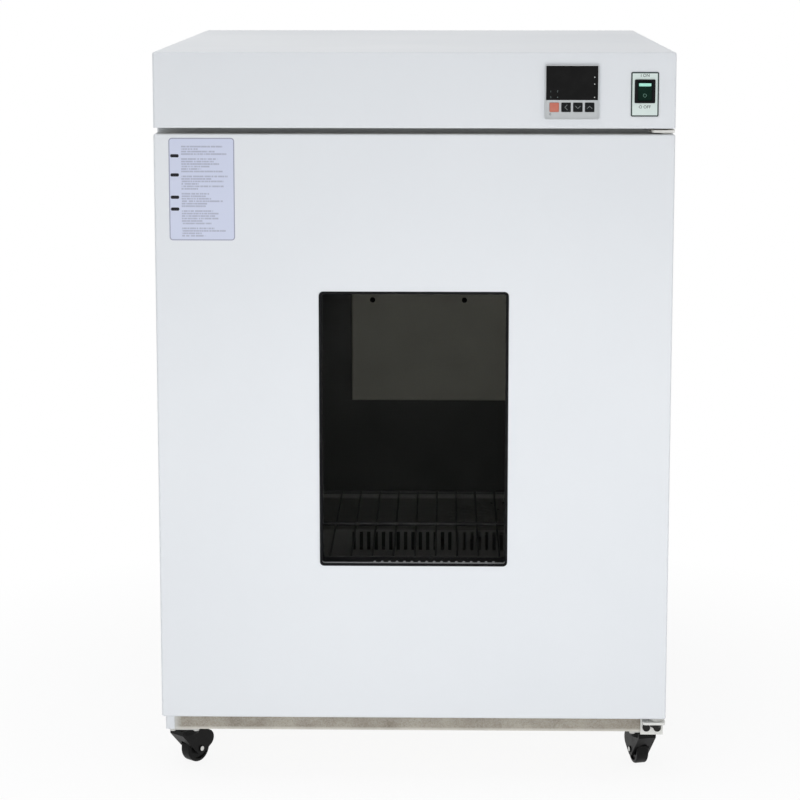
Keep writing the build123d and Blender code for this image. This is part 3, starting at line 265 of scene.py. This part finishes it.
# %% Softboxes
def softbox(name, place, aim, size, power, mirrored=True):
    """A lamp of size (wide, tall) that points from place to aim. It may be left out of mirror reflections."""
    turn = (Vector(aim) - Vector(place)).to_track_quat("-Z", "Y").to_euler()
    bpy.ops.object.light_add(type="AREA", location=place, rotation=turn)
    lamp = bpy.context.object
    lamp.name = name
    lamp.data.shape = "RECTANGLE"
    lamp.data.size, lamp.data.size_y = size
    lamp.visible_glossy = mirrored
    lamp.data.energy = power
    print(name, power, "W")


softbox("front_softbox", (-0.9, -3.0, 0.35), (0, 0, 0.3), (2.0, 2.0), 6)
softbox("low_softbox", (0.1, -1.7, 0.42), (0, 0, 0.25), (1.8, 0.3), 7.5, mirrored=False)
softbox("right_softbox", (2.6, -1.6, 1.6), (0, 0, 0.5), (1.6, 1.6), 8)
softbox("top_softbox", (-0.6, -0.4, 2.9), (0, 0, 0.9), (2.0, 2.0), 17)

# %% [markdown]
# ## Sheet metal and its paint
# The casing is folded steel with a baked powder coat: a pale bluish white with the fine ripple that
# painters call orange peel. A noise about 2 mm across gives the ripple, and a much larger one lets the
# colour and the gloss drift a little, as they do over a big door.

# %% Powder coat
coat_white = (0.800, 0.824, 0.850)
coat_shade = (0.770, 0.796, 0.826)


def powder_coat(name):
    coat = Finish(name)
    cloud = coat.noise(2.6, 3).band(0.3, 0.7)
    peel = coat.noise(430, 2)
    dust = coat.noise(1500, 1).band(0.62, 0.75)
    return coat.principled({
        "Base Color": coat.colour(cloud * 0.7 + dust * 0.3, coat_white, coat_shade),
        "Roughness": 0.36 + 0.08 * cloud + 0.05 * peel,
        "Normal": coat.bump(peel + 0.2 * coat.noise(90, 2), 0.00006),
        "Specular IOR Level": 0.45,
    })


dress(powder_coat("white_coat"),
      "outer_shell", "control_cover", "door_outer_panel", "back_panel", "control_rear_panel")

# %% [markdown]
# The frame and the base pan are bare galvanised sheet. It is dull, a little yellow with age, finely speckled
# by its zinc grains, and scratched along its length by handling. The lowest few millimetres of each sheet
# carry a painted highlight, and the frame's left end took some white overspray when the casing was painted.


# %% Bare galvanised steel
foot_highlight_height = 0.0045
overspray_width = (0.010, 0.020)
overspray_white = (0.66, 0.67, 0.65)


def bare_sheet(name, corner):
    zinc = Finish(name)
    grains = zinc.cells(620, out="Color")
    grain = zinc.add("ShaderNodeSeparateColor", sockets={0: grains})
    stain = zinc.noise(26, 5, rough=0.65).band(0.35, 0.7)
    speck = zinc.noise(900, 2).band(0.58, 0.68)
    scratch = zinc.noise(1.0, 3, zinc.stretched((18, 500, 900))).band(0.55, 0.8)
    tone = zinc.colour(stain, (0.39, 0.36, 0.305), (0.255, 0.22, 0.176))
    tone = zinc.colour(0.5 * speck, tone, (0.13, 0.118, 0.096))
    # Painted highlight: the foot of the sheet is lightened towards a pale zinc colour.
    paler_mask = 1 - (zinc.along("Z") - corner.z).band(0.3 * foot_highlight_height, foot_highlight_height)
    tone = zinc.colour(0.75 * paler_mask, tone, (0.74, 0.72, 0.66))
    spray = 1 - (zinc.along("X") - corner.x + 0.004 * stain).band(*overspray_width)
    tone = zinc.colour(0.85 * spray, tone, overspray_white)
    return zinc.principled({
        "Base Color": zinc.colour(0.3 * grain, tone, (0.60, 0.59, 0.54)),
        "Metallic": (0.55 - 0.25 * stain) * (1 - spray),
        "Roughness": 0.42 + 0.18 * stain + 0.1 * grain,
        "Normal": zinc.bump(scratch + 0.5 * speck, 0.00008),
    })


for name in ("front_frame", "base_pan", "control_floor"):
    dress(bare_sheet(f"{name}_zinc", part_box(name)[0]), name)

# %% [markdown]
# The chamber and what stands in it are stainless sheet with a fine brushed grain. Stretching a noise a
# hundred times along one direction draws the brush marks. The sheets are brushed along their length, so
# the direction is a setting.


# %% Brushed stainless
def brushed(name, colour, stretch, rough=0.3, metal=1.0):
    steel = Finish(name)
    marks = steel.noise(1.0, 4, steel.stretched(stretch), rough=0.6)
    smear = steel.noise(9, 4, rough=0.6).band(0.35, 0.75)
    darker = tuple(0.78 * c for c in colour)
    return steel.principled({
        "Base Color": steel.colour(0.5 * marks + 0.4 * smear, colour, darker),
        "Metallic": metal,
        "Roughness": rough + 0.14 * marks + 0.1 * smear,
        "Normal": steel.bump(marks, 0.00003),
    })


stainless = (0.42, 0.42, 0.40)
# The chamber walls take a darker copy of the stainless as painted shade, and the duct cover and the rear air
# guide take paler copies as painted light.
chamber_steel_shaded = (0.25, 0.25, 0.24)
duct_steel_lit = (0.78, 0.78, 0.76)
dress(brushed("stainless", stainless, (14, 14, 900), rough=0.38),
      "door_inner_panel", "shelf_rails", "shelf_clips")
dress(brushed("chamber_sheet_shaded", chamber_steel_shaded, (14, 14, 900), rough=0.44), "inner_chamber")
dress(brushed("duct_sheet_lit", duct_steel_lit, (900, 14, 14), rough=0.45, metal=0.5), "air_duct_cover")
dress(brushed("bracket_zinc", (0.84, 0.84, 0.81), (500, 500, 60), rough=0.42, metal=0.4),
      "lower_hinge_bracket", "upper_hinge_bracket")
dress(brushed("guide_sheet_lit", (0.90, 0.89, 0.76), (14, 14, 700), rough=0.5, metal=0.0), "rear_air_guide")
dress(brushed("shelf_wire", (0.34, 0.34, 0.34), (900, 14, 900), rough=0.36),
      "wire_shelf_lower", "wire_shelf_upper")
dress(brushed("zinc", (0.56, 0.56, 0.54), (300, 300, 900), rough=0.3),
      "casing_screws", "castor_screws", "castor_plates", "hinge_washers")
dress(brushed("black_oxide", (0.035, 0.034, 0.032), (300, 300, 900), rough=0.38),
      "hinge_pins", "hinge_screws")
dress(brushed("fan_sheet", (0.66, 0.66, 0.67), (400, 400, 30), rough=0.28), "fan_impeller")


# %% Heat-tinted tube
def heat_tint(name):
    """Sheathed heater tube: oxide brown with straw and blue patches."""
    tube = Finish(name)
    heat = tube.noise(30, 3).band(0.3, 0.7)
    grain = tube.noise(800, 3)
    warm = tube.colour(heat, (0.20, 0.15, 0.10), (0.12, 0.12, 0.16))
    return tube.principled({
        "Base Color": tube.colour(0.3 * grain, warm, (0.30, 0.28, 0.25)),
        "Metallic": 0.8,
        "Roughness": 0.42 + 0.2 * grain,
        "Normal": tube.bump(grain, 0.00005),
    })


dress(heat_tint("heater_tube"), "heater_element")
dress(brushed("probe_tube", (0.62, 0.62, 0.60), (900, 30, 900), rough=0.2), "temperature_probe")


# %% [markdown]
# ## Castings, mouldings and rubber
# Moulded plastic has a fine even grain from its tool, and a few brighter rubs. One function makes them
# all, from a colour, a gloss and the size of the grain. Cast and rubber surfaces differ only in those
# values. Black pieces get a weaker mirror than pale ones, or the white room would turn them grey.


# %% Moulded parts
dark_colour = 0.05
dark_shine = 0.08
pale_shine = 0.5


def moulded(name, colour, rough, grain_scale=900, grain_depth=0.00004, worn=0.12):
    shine = dark_shine if max(colour) < dark_colour else pale_shine
    plastic = Finish(name)
    grain = plastic.noise(grain_scale, 2)
    paler_mask = plastic.noise(45, 4, rough=0.65).band(0.5, 0.8)
    paler = tuple(c + (1 - c) * worn for c in colour)
    return plastic.principled({
        "Base Color": plastic.colour(0.5 * paler_mask + 0.2 * grain, colour, paler),
        "Roughness": rough + 0.1 * grain - 0.08 * paler_mask,
        "Normal": plastic.bump(grain, grain_depth),
        "Specular IOR Level": shine,
    })


dress(moulded("black_plastic", (0.006, 0.006, 0.007), 0.42, worn=0.02),
      "switch_housing", "mains_inlet", "door_grip")
dress(moulded("controller_plastic", (0.54, 0.56, 0.57), 0.34, worn=0.08), "controller_housing")
dress(moulded("red_key", (0.53, 0.145, 0.092), 0.38, worn=0.1), "key_set")
dress(moulded("black_key", (0.009, 0.010, 0.011), 0.36, worn=0.02), "key_left", "key_down", "key_up")
dress(moulded("relay_case", (0.62, 0.60, 0.53), 0.5), "heater_relay")
dress(moulded("terminal_plastic", (0.72, 0.70, 0.64), 0.45), "terminal_strip")
dress(moulded("nylon", (0.70, 0.68, 0.62), 0.5), "hinge_bushes")
dress(moulded("black_rubber", (0.006, 0.006, 0.007), 0.62, 500, 0.00008, worn=0.02),
      "window_seal", "door_gasket")
dress(moulded("motor_case", (0.30, 0.30, 0.31), 0.55, 700, 0.00012, worn=0.15), "fan_motor")


# %% Mineral wool
def wool(name):
    """Pressed fibre slab: yellow brown, with crossing fibres."""
    slab = Finish(name)
    fibres = slab.noise(1.0, 4, slab.stretched((700, 60, 500)))
    tangle = slab.noise(120, 5, rough=0.7)
    return slab.principled({
        "Base Color": slab.colour(0.6 * fibres + 0.4 * tangle, (0.62, 0.52, 0.28), (0.36, 0.30, 0.16)),
        "Roughness": 0.9 + 0.05 * tangle,
        "Normal": slab.bump(fibres + tangle, 0.0006),
    })


dress(wool("mineral_wool"),
      "insulation_sides", "insulation_rear", "insulation_top", "insulation_bottom", "door_insulation")


# %% [markdown]
# ## Window glass
# The two panes are slightly grey. The chamber behind them has no lamp, so the window reads as nearly
# black with the steel sheets dimly inside. Each pane lets most of the light straight through, by its
# alpha, and keeps a faint smear of handling in its gloss.

# %% Tinted pane
pane_stop = 0.12


def pane(name):
    glass = Finish(name)
    smear = glass.noise(14, 4, rough=0.6).band(0.4, 0.8)
    return glass.principled({
        "Base Color": (0.002, 0.002, 0.002, 1),
        "Roughness": 0.03 + 0.05 * smear,
        "Alpha": pane_stop + 0.02 * smear,
        "Specular IOR Level": 0.05,
    })


dress(pane("window_glass"), "outer_glass", "inner_glass")

# %% [markdown]
# Between the panes runs a dark spacer. On its bottom rail a bright line beside the outer pane is a painted
# highlight, and a row of bright spots behind it, in step with the duct's slots, is painted highlight too.

# %% Spacer between the panes
lip_depth = 0.0030
glint_pitch = 0.0101
glint_half_width = 0.0021
glint_reach = 0.0080
glints_from = -0.058
glints_to = 0.116
rail_top = 0.012


def spacer_finish(low):
    rail = Finish("spacer_aluminium")
    grain = rail.noise(1.0, 4, rail.stretched((40, 40, 700)))
    aside = rail.along("X")
    inward = rail.along("Y") - low.y
    # Painted highlight: the lip line and the round spots in step with the duct's slots are coloured near
    # white.
    from_glint = abs((aside - glints_from) % glint_pitch - glint_pitch / 2)
    round_glint = (from_glint / glint_half_width) ** 2 + ((inward - lip_depth) / glint_reach) ** 2
    glints = round_glint.below(0.8, 0.3) * aside.band(glints_from, glints_from + 0.0005) * aside.below(glints_to)
    painted_highlight_mask = inward.below(lip_depth, 0.0005).larger(glints) * (rail.along("Z") - low.z).below(rail_top, 0.0005)
    dark = rail.colour(grain, (0.010, 0.010, 0.011), (0.020, 0.020, 0.021))
    return rail.principled({
        "Base Color": rail.colour(painted_highlight_mask, dark, (0.90, 0.91, 0.92)),
        "Roughness": 0.5 + 0.1 * grain - 0.2 * painted_highlight_mask,
        "Normal": rail.bump(grain, 0.00003),
        "Specular IOR Level": 0.2,
    })


dress(spacer_finish(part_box("window_spacer")[0]), "window_spacer")


# %% [markdown]
# ## Castors
# Hoods and wheels are black moulded nylon. The rivet that carries each wheel is bright steel and
# belongs to the fork's solid, so the fork's finish turns to steel within the rivet's radius of the
# wheel's axis. The distance from a line is the length of the cross product with its direction.

# %% Castor finishes
rivet_radius = 0.0032


def castor_nylon(name, centre, axis):
    nylon = Finish(name)
    grain = nylon.noise(800, 2)
    scuff = nylon.noise(70, 4, rough=0.7).band(0.52, 0.78)
    offset = nylon.add("ShaderNodeVectorMath", {"operation": "SUBTRACT"}, {0: nylon.point, 1: centre})
    across = nylon.add("ShaderNodeVectorMath", {"operation": "CROSS_PRODUCT"}, {0: offset, 1: axis})
    reach = nylon.add("ShaderNodeVectorMath", {"operation": "LENGTH"}, {0: across}, out="Value")
    steel = 1 - reach.band(rivet_radius, rivet_radius + 0.0002)
    black = nylon.colour(0.4 * scuff, (0.005, 0.005, 0.005), (0.022, 0.022, 0.022))
    return nylon.principled({
        "Base Color": nylon.colour(steel, black, (0.62, 0.62, 0.60)),
        "Metallic": steel,
        "Roughness": 0.34 + 0.12 * grain + 0.15 * scuff,
        "Normal": nylon.bump(grain + scuff, 0.00006),
        "Specular IOR Level": 0.12,
    })


for joint in frame["joints"]:
    if joint["name"].startswith("wheel_spin_"):
        corner = joint["name"].removeprefix("wheel_spin_")
        dress(castor_nylon(f"castor_fork_{corner}", joint["pos_m"], joint["axis"]), f"castor_fork_{corner}")
        dress(castor_nylon(f"castor_wheel_{corner}", joint["pos_m"], joint["axis"]), f"castor_wheel_{corner}")


# %% [markdown]
# ## Display and rocker
# The display is a smoked window: nearly black, very smooth, with the segments unlit behind it. The
# rocker is a dark green translucent moulding.

# %% Smoked window and rocker
def smoked(name, colour, rough):
    cover = Finish(name)
    smear = cover.noise(60, 3).band(0.4, 0.8)
    return cover.principled({
        "Base Color": cover.colour(0.5 * smear, colour, tuple(1.6 * c for c in colour)),
        "Roughness": rough + 0.08 * smear,
        "Coat Weight": 0.04 * smear,
        "Specular IOR Level": 0.06,
    })


dress(smoked("display", (0.009, 0.009, 0.009), 0.12), "display_window")
dress(smoked("green_plastic", (0.004, 0.020, 0.013), 0.16), "power_rocker")


# %% [markdown]
# ## Things that lie on a surface
# Legends and the card are thin sheets that must sit on what carries them. `seat` shoots a ray from in
# front of the cabinet at a solid and returns where it lands and which way the surface faces, so nothing
# floats.

# %% Seats on a surface
print_thickness = 0.00008
sink = 0.00003


def select_only(piece):
    bpy.ops.object.select_all(action="DESELECT")
    piece.select_set(True)
    bpy.context.view_layer.objects.active = piece


def seat(node, x, z):
    """A matrix that lays a flat piece on the front of a solid: its own Z points out of the surface."""
    hit, place, normal, _ = nodes[node].ray_cast(Vector((x, -2.0, z)), Vector((0, 1, 0)))
    if not hit:
        raise ValueError(f"nothing of {node} lies behind x {x}, z {z}")
    right = Vector((1, 0, 0))
    up = normal.cross(right).normalized()
    turn = Matrix((right, up, normal)).transposed().to_4x4()
    return Matrix.Translation(place - sink * normal) @ turn


def settle(piece, name, matrix, material, body):
    """Bakes a piece's place into its mesh, names it, and gives it a finish and a body to ride on."""
    piece.matrix_world = matrix
    select_only(piece)
    bpy.ops.object.transform_apply(location=True, rotation=True, scale=True)
    piece.name = name
    piece.data.name = name
    piece.data.materials.clear()
    piece.data.materials.append(material)
    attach(piece, body)
    print(name, "on", body, len(piece.data.polygons), "faces")
    return piece


# %% [markdown]
# ## Flat plates
# The card, its tabs, the painted highlight bar on the rocker and the arms of the arrows are all thin plates
# with round corners. One is a plane, sized in edit mode, with its corners rounded by a vertex bevel, and
# pulled up to its thickness.


# %% Thin plate
def plate(width, height, radius, thickness=print_thickness, segments=6):
    """A flat plate in the XY plane that faces +Z."""
    bpy.ops.object.select_all(action="DESELECT")
    bpy.ops.mesh.primitive_plane_add(size=1, location=(0, 0, 0))
    piece = bpy.context.object
    bpy.ops.object.mode_set(mode="EDIT")
    bpy.ops.mesh.select_all(action="SELECT")
    bpy.ops.transform.resize(value=(width, height, 1))
    bpy.ops.mesh.bevel(offset=radius, affect="VERTICES", segments=segments)
    bpy.ops.mesh.select_all(action="SELECT")
    bpy.ops.mesh.extrude_region_move(TRANSFORM_OT_translate={"value": (0, 0, thickness)})
    bpy.ops.mesh.select_all(action="SELECT")
    bpy.ops.mesh.normals_make_consistent(inside=False)
    bpy.ops.object.mode_set(mode="OBJECT")
    return piece


def joined(pieces):
    bpy.ops.object.select_all(action="DESELECT")
    for piece in pieces:
        piece.select_set(True)
    bpy.context.view_layer.objects.active = pieces[0]
    bpy.ops.object.join()
    return pieces[0]


# %% [markdown]
# ## The printed card
# A pale lavender card is stuck near the door's top left corner, with a thin border and rows of broken
# grey bars. The rows have an even pitch. Each has its own length, from a random value per row, and a
# noise breaks it up. Every seventh row stays empty, which makes paragraphs.

# %% Card
card_width = 0.0872
card_height = 0.1365
card_radius = 0.0045
card_thickness = 0.00025
card_from_side = 0.0200
card_from_top = 0.0052
card_border = 0.0015
row_pitch = 0.0033
print_left = 0.0165
print_right = 0.0800
print_top = 0.0095
print_foot = 0.1325
rows_in_paragraph = 7

door_low, door_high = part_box("door_outer_panel")
card_x = door_low.x + card_from_side + card_width / 2
card_z = door_high.z - card_from_top - card_height / 2


def card_paper():
    paper = Finish("card_paper")
    right = paper.along("X") - (card_x - card_width / 2)
    down = (card_z + card_height / 2) - paper.along("Z")
    edge = paper.rounded((card_x, card_z), card_width / 2, card_height / 2, card_radius)
    border = (edge + card_border).band(0, 0.0003)
    place_in_row = (down % row_pitch) / row_pitch
    row = (down / row_pitch).floor()
    random = paper.add("ShaderNodeTexWhiteNoise", {"noise_dimensions": "1D"}, {"W": row})
    row_end = print_left + (0.35 + 0.65 * random) * (print_right - print_left)
    stretched = paper.add("ShaderNodeCombineXYZ", sockets={0: right * 620, 1: row * 7.3})
    breaks = paper.noise(1.0, 2, stretched).band(0.36, 0.46)
    bar = abs(place_in_row - 0.5).below(0.26, 0.12)
    bar *= right.band(print_left, print_left + 0.0003) * (row_end - right).band(0, 0.0003)
    bar *= down.band(print_top, print_top + 0.0003) * down.below(print_foot)
    bar *= (row % rows_in_paragraph).band(0.4, 0.6)
    fibre = paper.noise(900, 3)
    sheet = paper.colour(fibre * 0.4, (0.635, 0.675, 0.825), (0.606, 0.648, 0.800))
    sheet = paper.colour(0.42 * bar * breaks, sheet, (0.16, 0.16, 0.22))
    return paper.principled({
        "Base Color": paper.colour(0.8 * border, sheet, (0.26, 0.26, 0.36)),
        "Roughness": 0.42 + 0.1 * fibre,
        "Normal": paper.bump(fibre, 0.00001),
    })


card = plate(card_width, card_height, card_radius, card_thickness)
settle(card, "door_card", seat("door_outer_panel", card_x, card_z), card_paper(), "door")

# %% [markdown]
# ## Legends
# The two legends on the switch plate are printed. A text object is the quickest way to a letter: it
# gets its size and a hair of thickness, and is made a mesh before it is placed.


# %% Printed legends
def ink(name, colour, rough=0.45):
    printed = Finish(name)
    grain = printed.noise(2200, 2)
    return printed.principled({
        "Base Color": printed.colour(0.3 * grain, colour, tuple(min(1, 1.2 * c + 0.01) for c in colour)),
        "Roughness": rough + 0.1 * grain,
        "Specular IOR Level": 0.2,
    })


black_ink = ink("black_ink", (0.010, 0.010, 0.014))
white_ink = ink("white_ink", (0.55, 0.57, 0.56))


def legend(name, words, height, node, x, z, material, body):
    bpy.ops.object.text_add()
    letters = bpy.context.object
    letters.data.body = words
    letters.data.size = height
    letters.data.align_x = "CENTER"
    letters.data.align_y = "CENTER"
    letters.data.extrude = print_thickness
    select_only(letters)
    bpy.ops.object.convert(target="MESH")
    settle(bpy.context.object, name, seat(node, x, z), material, body)


plate_low, plate_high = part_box("switch_plate")
switch_x = (plate_low.x + plate_high.x) / 2
legend_size = 0.0056
legend_gap = 0.0052
bezel_low, bezel_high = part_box("switch_housing")
legend("switch_on_legend", "I ON", legend_size, "switch_plate", switch_x, bezel_high.z + legend_gap,
       black_ink, "cabinet")
legend("switch_off_legend", "O OFF", legend_size, "switch_plate", switch_x, bezel_low.z - legend_gap,
       black_ink, "cabinet")

# %% [markdown]
# Four black tabs stand along the card's left side. Their heights are counted in rows of the card.

# %% Card tabs
tab_size = (0.0113, 0.0043)
tab_rows = (7.2, 14.9, 23.9, 28.7)
tab_from_edge = 0.0078
tab_round = 0.0019
tab_x = card_x - card_width / 2 + tab_from_edge
for number, row in enumerate(tab_rows, 1):
    tab = plate(*tab_size, tab_round)
    matrix = seat("door_outer_panel", tab_x, card_z + card_height / 2 - row * row_pitch)
    lift = Matrix.Translation((0, 0, card_thickness))
    settle(tab, f"card_tab_{number}", matrix @ lift, black_ink, "door")

# %% [markdown]
# The switch plate is a pale mint sheet with a dark line round its edge. The line follows the plate's
# outline, so it comes from the distance to a rounded rectangle.

# %% Switch plate
plate_half = (plate_high - plate_low) / 2
plate_z = (plate_low.z + plate_high.z) / 2
plate_line = 0.0019
plate_corner = 0.002


def switch_plate_finish():
    mint = Finish("mint_plastic")
    edge = mint.rounded((switch_x, plate_z), plate_half.x, plate_half.z, plate_corner)
    line = (edge + plate_line).band(0, 0.0003)
    grain = mint.noise(900, 2)
    sheet = mint.colour(0.4 * grain, (0.72, 0.82, 0.785), (0.68, 0.78, 0.745))
    return mint.principled({
        "Base Color": mint.colour(line, sheet, (0.014, 0.030, 0.028)),
        "Roughness": 0.34 + 0.1 * grain,
        "Normal": mint.bump(grain, 0.00003),
    })


dress(switch_plate_finish(), "switch_plate")

# %% [markdown]
# A pale mint bar across the rocker's upper half is a painted highlight, and a ring lies on its lower half.
# The keys of the controller carry thin arrows, a small ring stands under the red one, and the dark display
# shows a few small numbers and unlit lamps.

# %% Rocker marks
highlight_size = (0.0160, 0.0042)
highlight_corner = 0.0008
highlight_from_top = 0.0030
ring_share = 0.28
ring_radius = 0.0021
ring_line = 0.00028

mint_painted_highlight = ink("mint_painted_highlight", (0.42, 0.86, 0.70), 0.25)
green_ink = ink("green_ink", (0.16, 0.30, 0.24), 0.35)
rocker_low, rocker_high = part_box("power_rocker")
rocker_tall = rocker_high.z - rocker_low.z
# Painted highlight: a pale mint bar stands for the light caught on the rocker's upper half.
place = seat("power_rocker", switch_x, rocker_high.z - highlight_from_top)
settle(plate(*highlight_size, highlight_corner), "rocker_painted_highlight", place, mint_painted_highlight, "rocker")
bpy.ops.object.select_all(action="DESELECT")
bpy.ops.mesh.primitive_torus_add(major_radius=ring_radius, minor_radius=ring_line, major_segments=40,
                                 minor_segments=8)
place = seat("power_rocker", switch_x, rocker_low.z + ring_share * rocker_tall)
settle(bpy.context.object, "rocker_ring", place, green_ink, "rocker")

# %% Key arrows
arrow_ink = ink("arrow_ink", (0.25, 0.27, 0.27))
arrow_turns = {"left": 90, "down": 180, "up": 0}
arm_length = 0.0052
arm_width = 0.0006
arm_corner = 0.0003
half_reach = (arm_length - arm_width) / 2 * math.sqrt(0.5)
for key, turn in arrow_turns.items():
    low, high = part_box(f"key_{key}")
    arms = []
    for side in (-1, 1):
        arm = plate(arm_length, arm_width, arm_corner, segments=3)
        arm.matrix_world = (Matrix.Rotation(math.radians(turn), 4, "Z")
                            @ Matrix.Translation((side * half_reach, 0, 0))
                            @ Matrix.Rotation(math.radians(-45 * side), 4, "Z"))
        select_only(arm)
        bpy.ops.object.transform_apply(location=True, rotation=True, scale=True)
        arms.append(arm)
    place = seat(f"key_{key}", (low.x + high.x) / 2, (low.z + high.z) / 2)
    settle(joined(arms), f"key_{key}_arrow", place, arrow_ink, f"{key}_key")

# %% Mark under the set key
mark_from_left = 0.0074
mark_from_foot = 0.0068
mark_radius = 0.0011
mark_line = 0.0003

housing_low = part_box("controller_housing")[0]
bpy.ops.object.select_all(action="DESELECT")
bpy.ops.mesh.primitive_torus_add(major_radius=mark_radius, minor_radius=mark_line, major_segments=32,
                                 minor_segments=8)
place = seat("controller_housing", housing_low.x + mark_from_left, housing_low.z + mark_from_foot)
settle(bpy.context.object, "set_key_mark", place, ink("mark_ink", (0.24, 0.25, 0.26)), "cabinet")

# %% Display marks
number_size = 0.0030
number_columns = (0.0060, 0.0150)
number_rows = (0.0112, 0.0036)
dot_radius = 0.0008
dot_flatness = 0.25
dot_from_right = 0.0045
dot_rows = (0.0300, 0.0210, 0.0036)

faint_ink = ink("faint_ink", (0.20, 0.25, 0.25), 0.4)
display_low, display_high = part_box("display_window")
number_places = [(aside, rise) for rise in number_rows for aside in number_columns]
for number, (aside, rise) in enumerate(number_places, 1):
    legend(f"display_number_{number}", str(number), number_size, "display_window",
           display_low.x + aside, display_low.z + rise, faint_ink, "cabinet")
for number, rise in enumerate(dot_rows, 1):
    bpy.ops.object.select_all(action="DESELECT")
    bpy.ops.mesh.primitive_uv_sphere_add(segments=20, ring_count=10, radius=dot_radius)
    dot = bpy.context.object
    dot.scale = (1, 1, dot_flatness)
    bpy.ops.object.transform_apply(location=False, rotation=False, scale=True)
    place = seat("display_window", display_high.x - dot_from_right, display_low.z + rise)
    settle(dot, f"display_lamp_{number}", place, white_ink, "cabinet")


# %% [markdown]
# ## Screws of the rear air guide
# Two button-head screws hold the pale plate at the back of the chamber. Each is a disc, pulled up and
# rounded at its rim, with a socket sunk in its top. It covers the hole in the plate, so its seat is
# found beside the hole.

# %% Button-head screws
head_radius = 0.0042
head_height = 0.0022
head_round = 0.0012
socket_wall = 0.0005
socket_depth = 0.0014
same_height = 1e-6
guide_insets = (0.033, 0.068)
guide_drop = 0.050
beside_hole = 0.005


def button_screw():
    bpy.ops.object.select_all(action="DESELECT")
    bpy.ops.mesh.primitive_circle_add(vertices=36, radius=head_radius, fill_type="NGON", location=(0, 0, 0))
    screw = bpy.context.object
    bpy.ops.object.mode_set(mode="EDIT")
    bpy.ops.mesh.select_all(action="SELECT")
    bpy.ops.mesh.extrude_region_move(TRANSFORM_OT_translate={"value": (0, 0, head_height)})
    bpy.ops.mesh.bevel(offset=head_round, segments=4)
    bpy.ops.object.mode_set(mode="OBJECT")
    for face in screw.data.polygons:
        face.select = face.center.z > head_height - same_height
    bpy.ops.object.mode_set(mode="EDIT")
    bpy.ops.mesh.inset(thickness=socket_wall)
    bpy.ops.mesh.extrude_region_move(TRANSFORM_OT_translate={"value": (0, 0, -socket_depth)})
    bpy.ops.mesh.select_all(action="SELECT")
    bpy.ops.mesh.normals_make_consistent(inside=False)
    bpy.ops.object.mode_set(mode="OBJECT")
    return screw


screw_black = brushed("screw_black", (0.030, 0.030, 0.029), (600, 600, 900), rough=0.42)
guide_low, guide_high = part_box("rear_air_guide")
for side, x in (("left", guide_low.x + guide_insets[0]), ("right", guide_high.x - guide_insets[1])):
    place = seat("rear_air_guide", x + beside_hole, guide_high.z - guide_drop)
    centred = place @ Matrix.Translation((-beside_hole, 0, 0))
    settle(button_screw(), f"guide_screw_{side}", centred, screw_black, "cabinet")
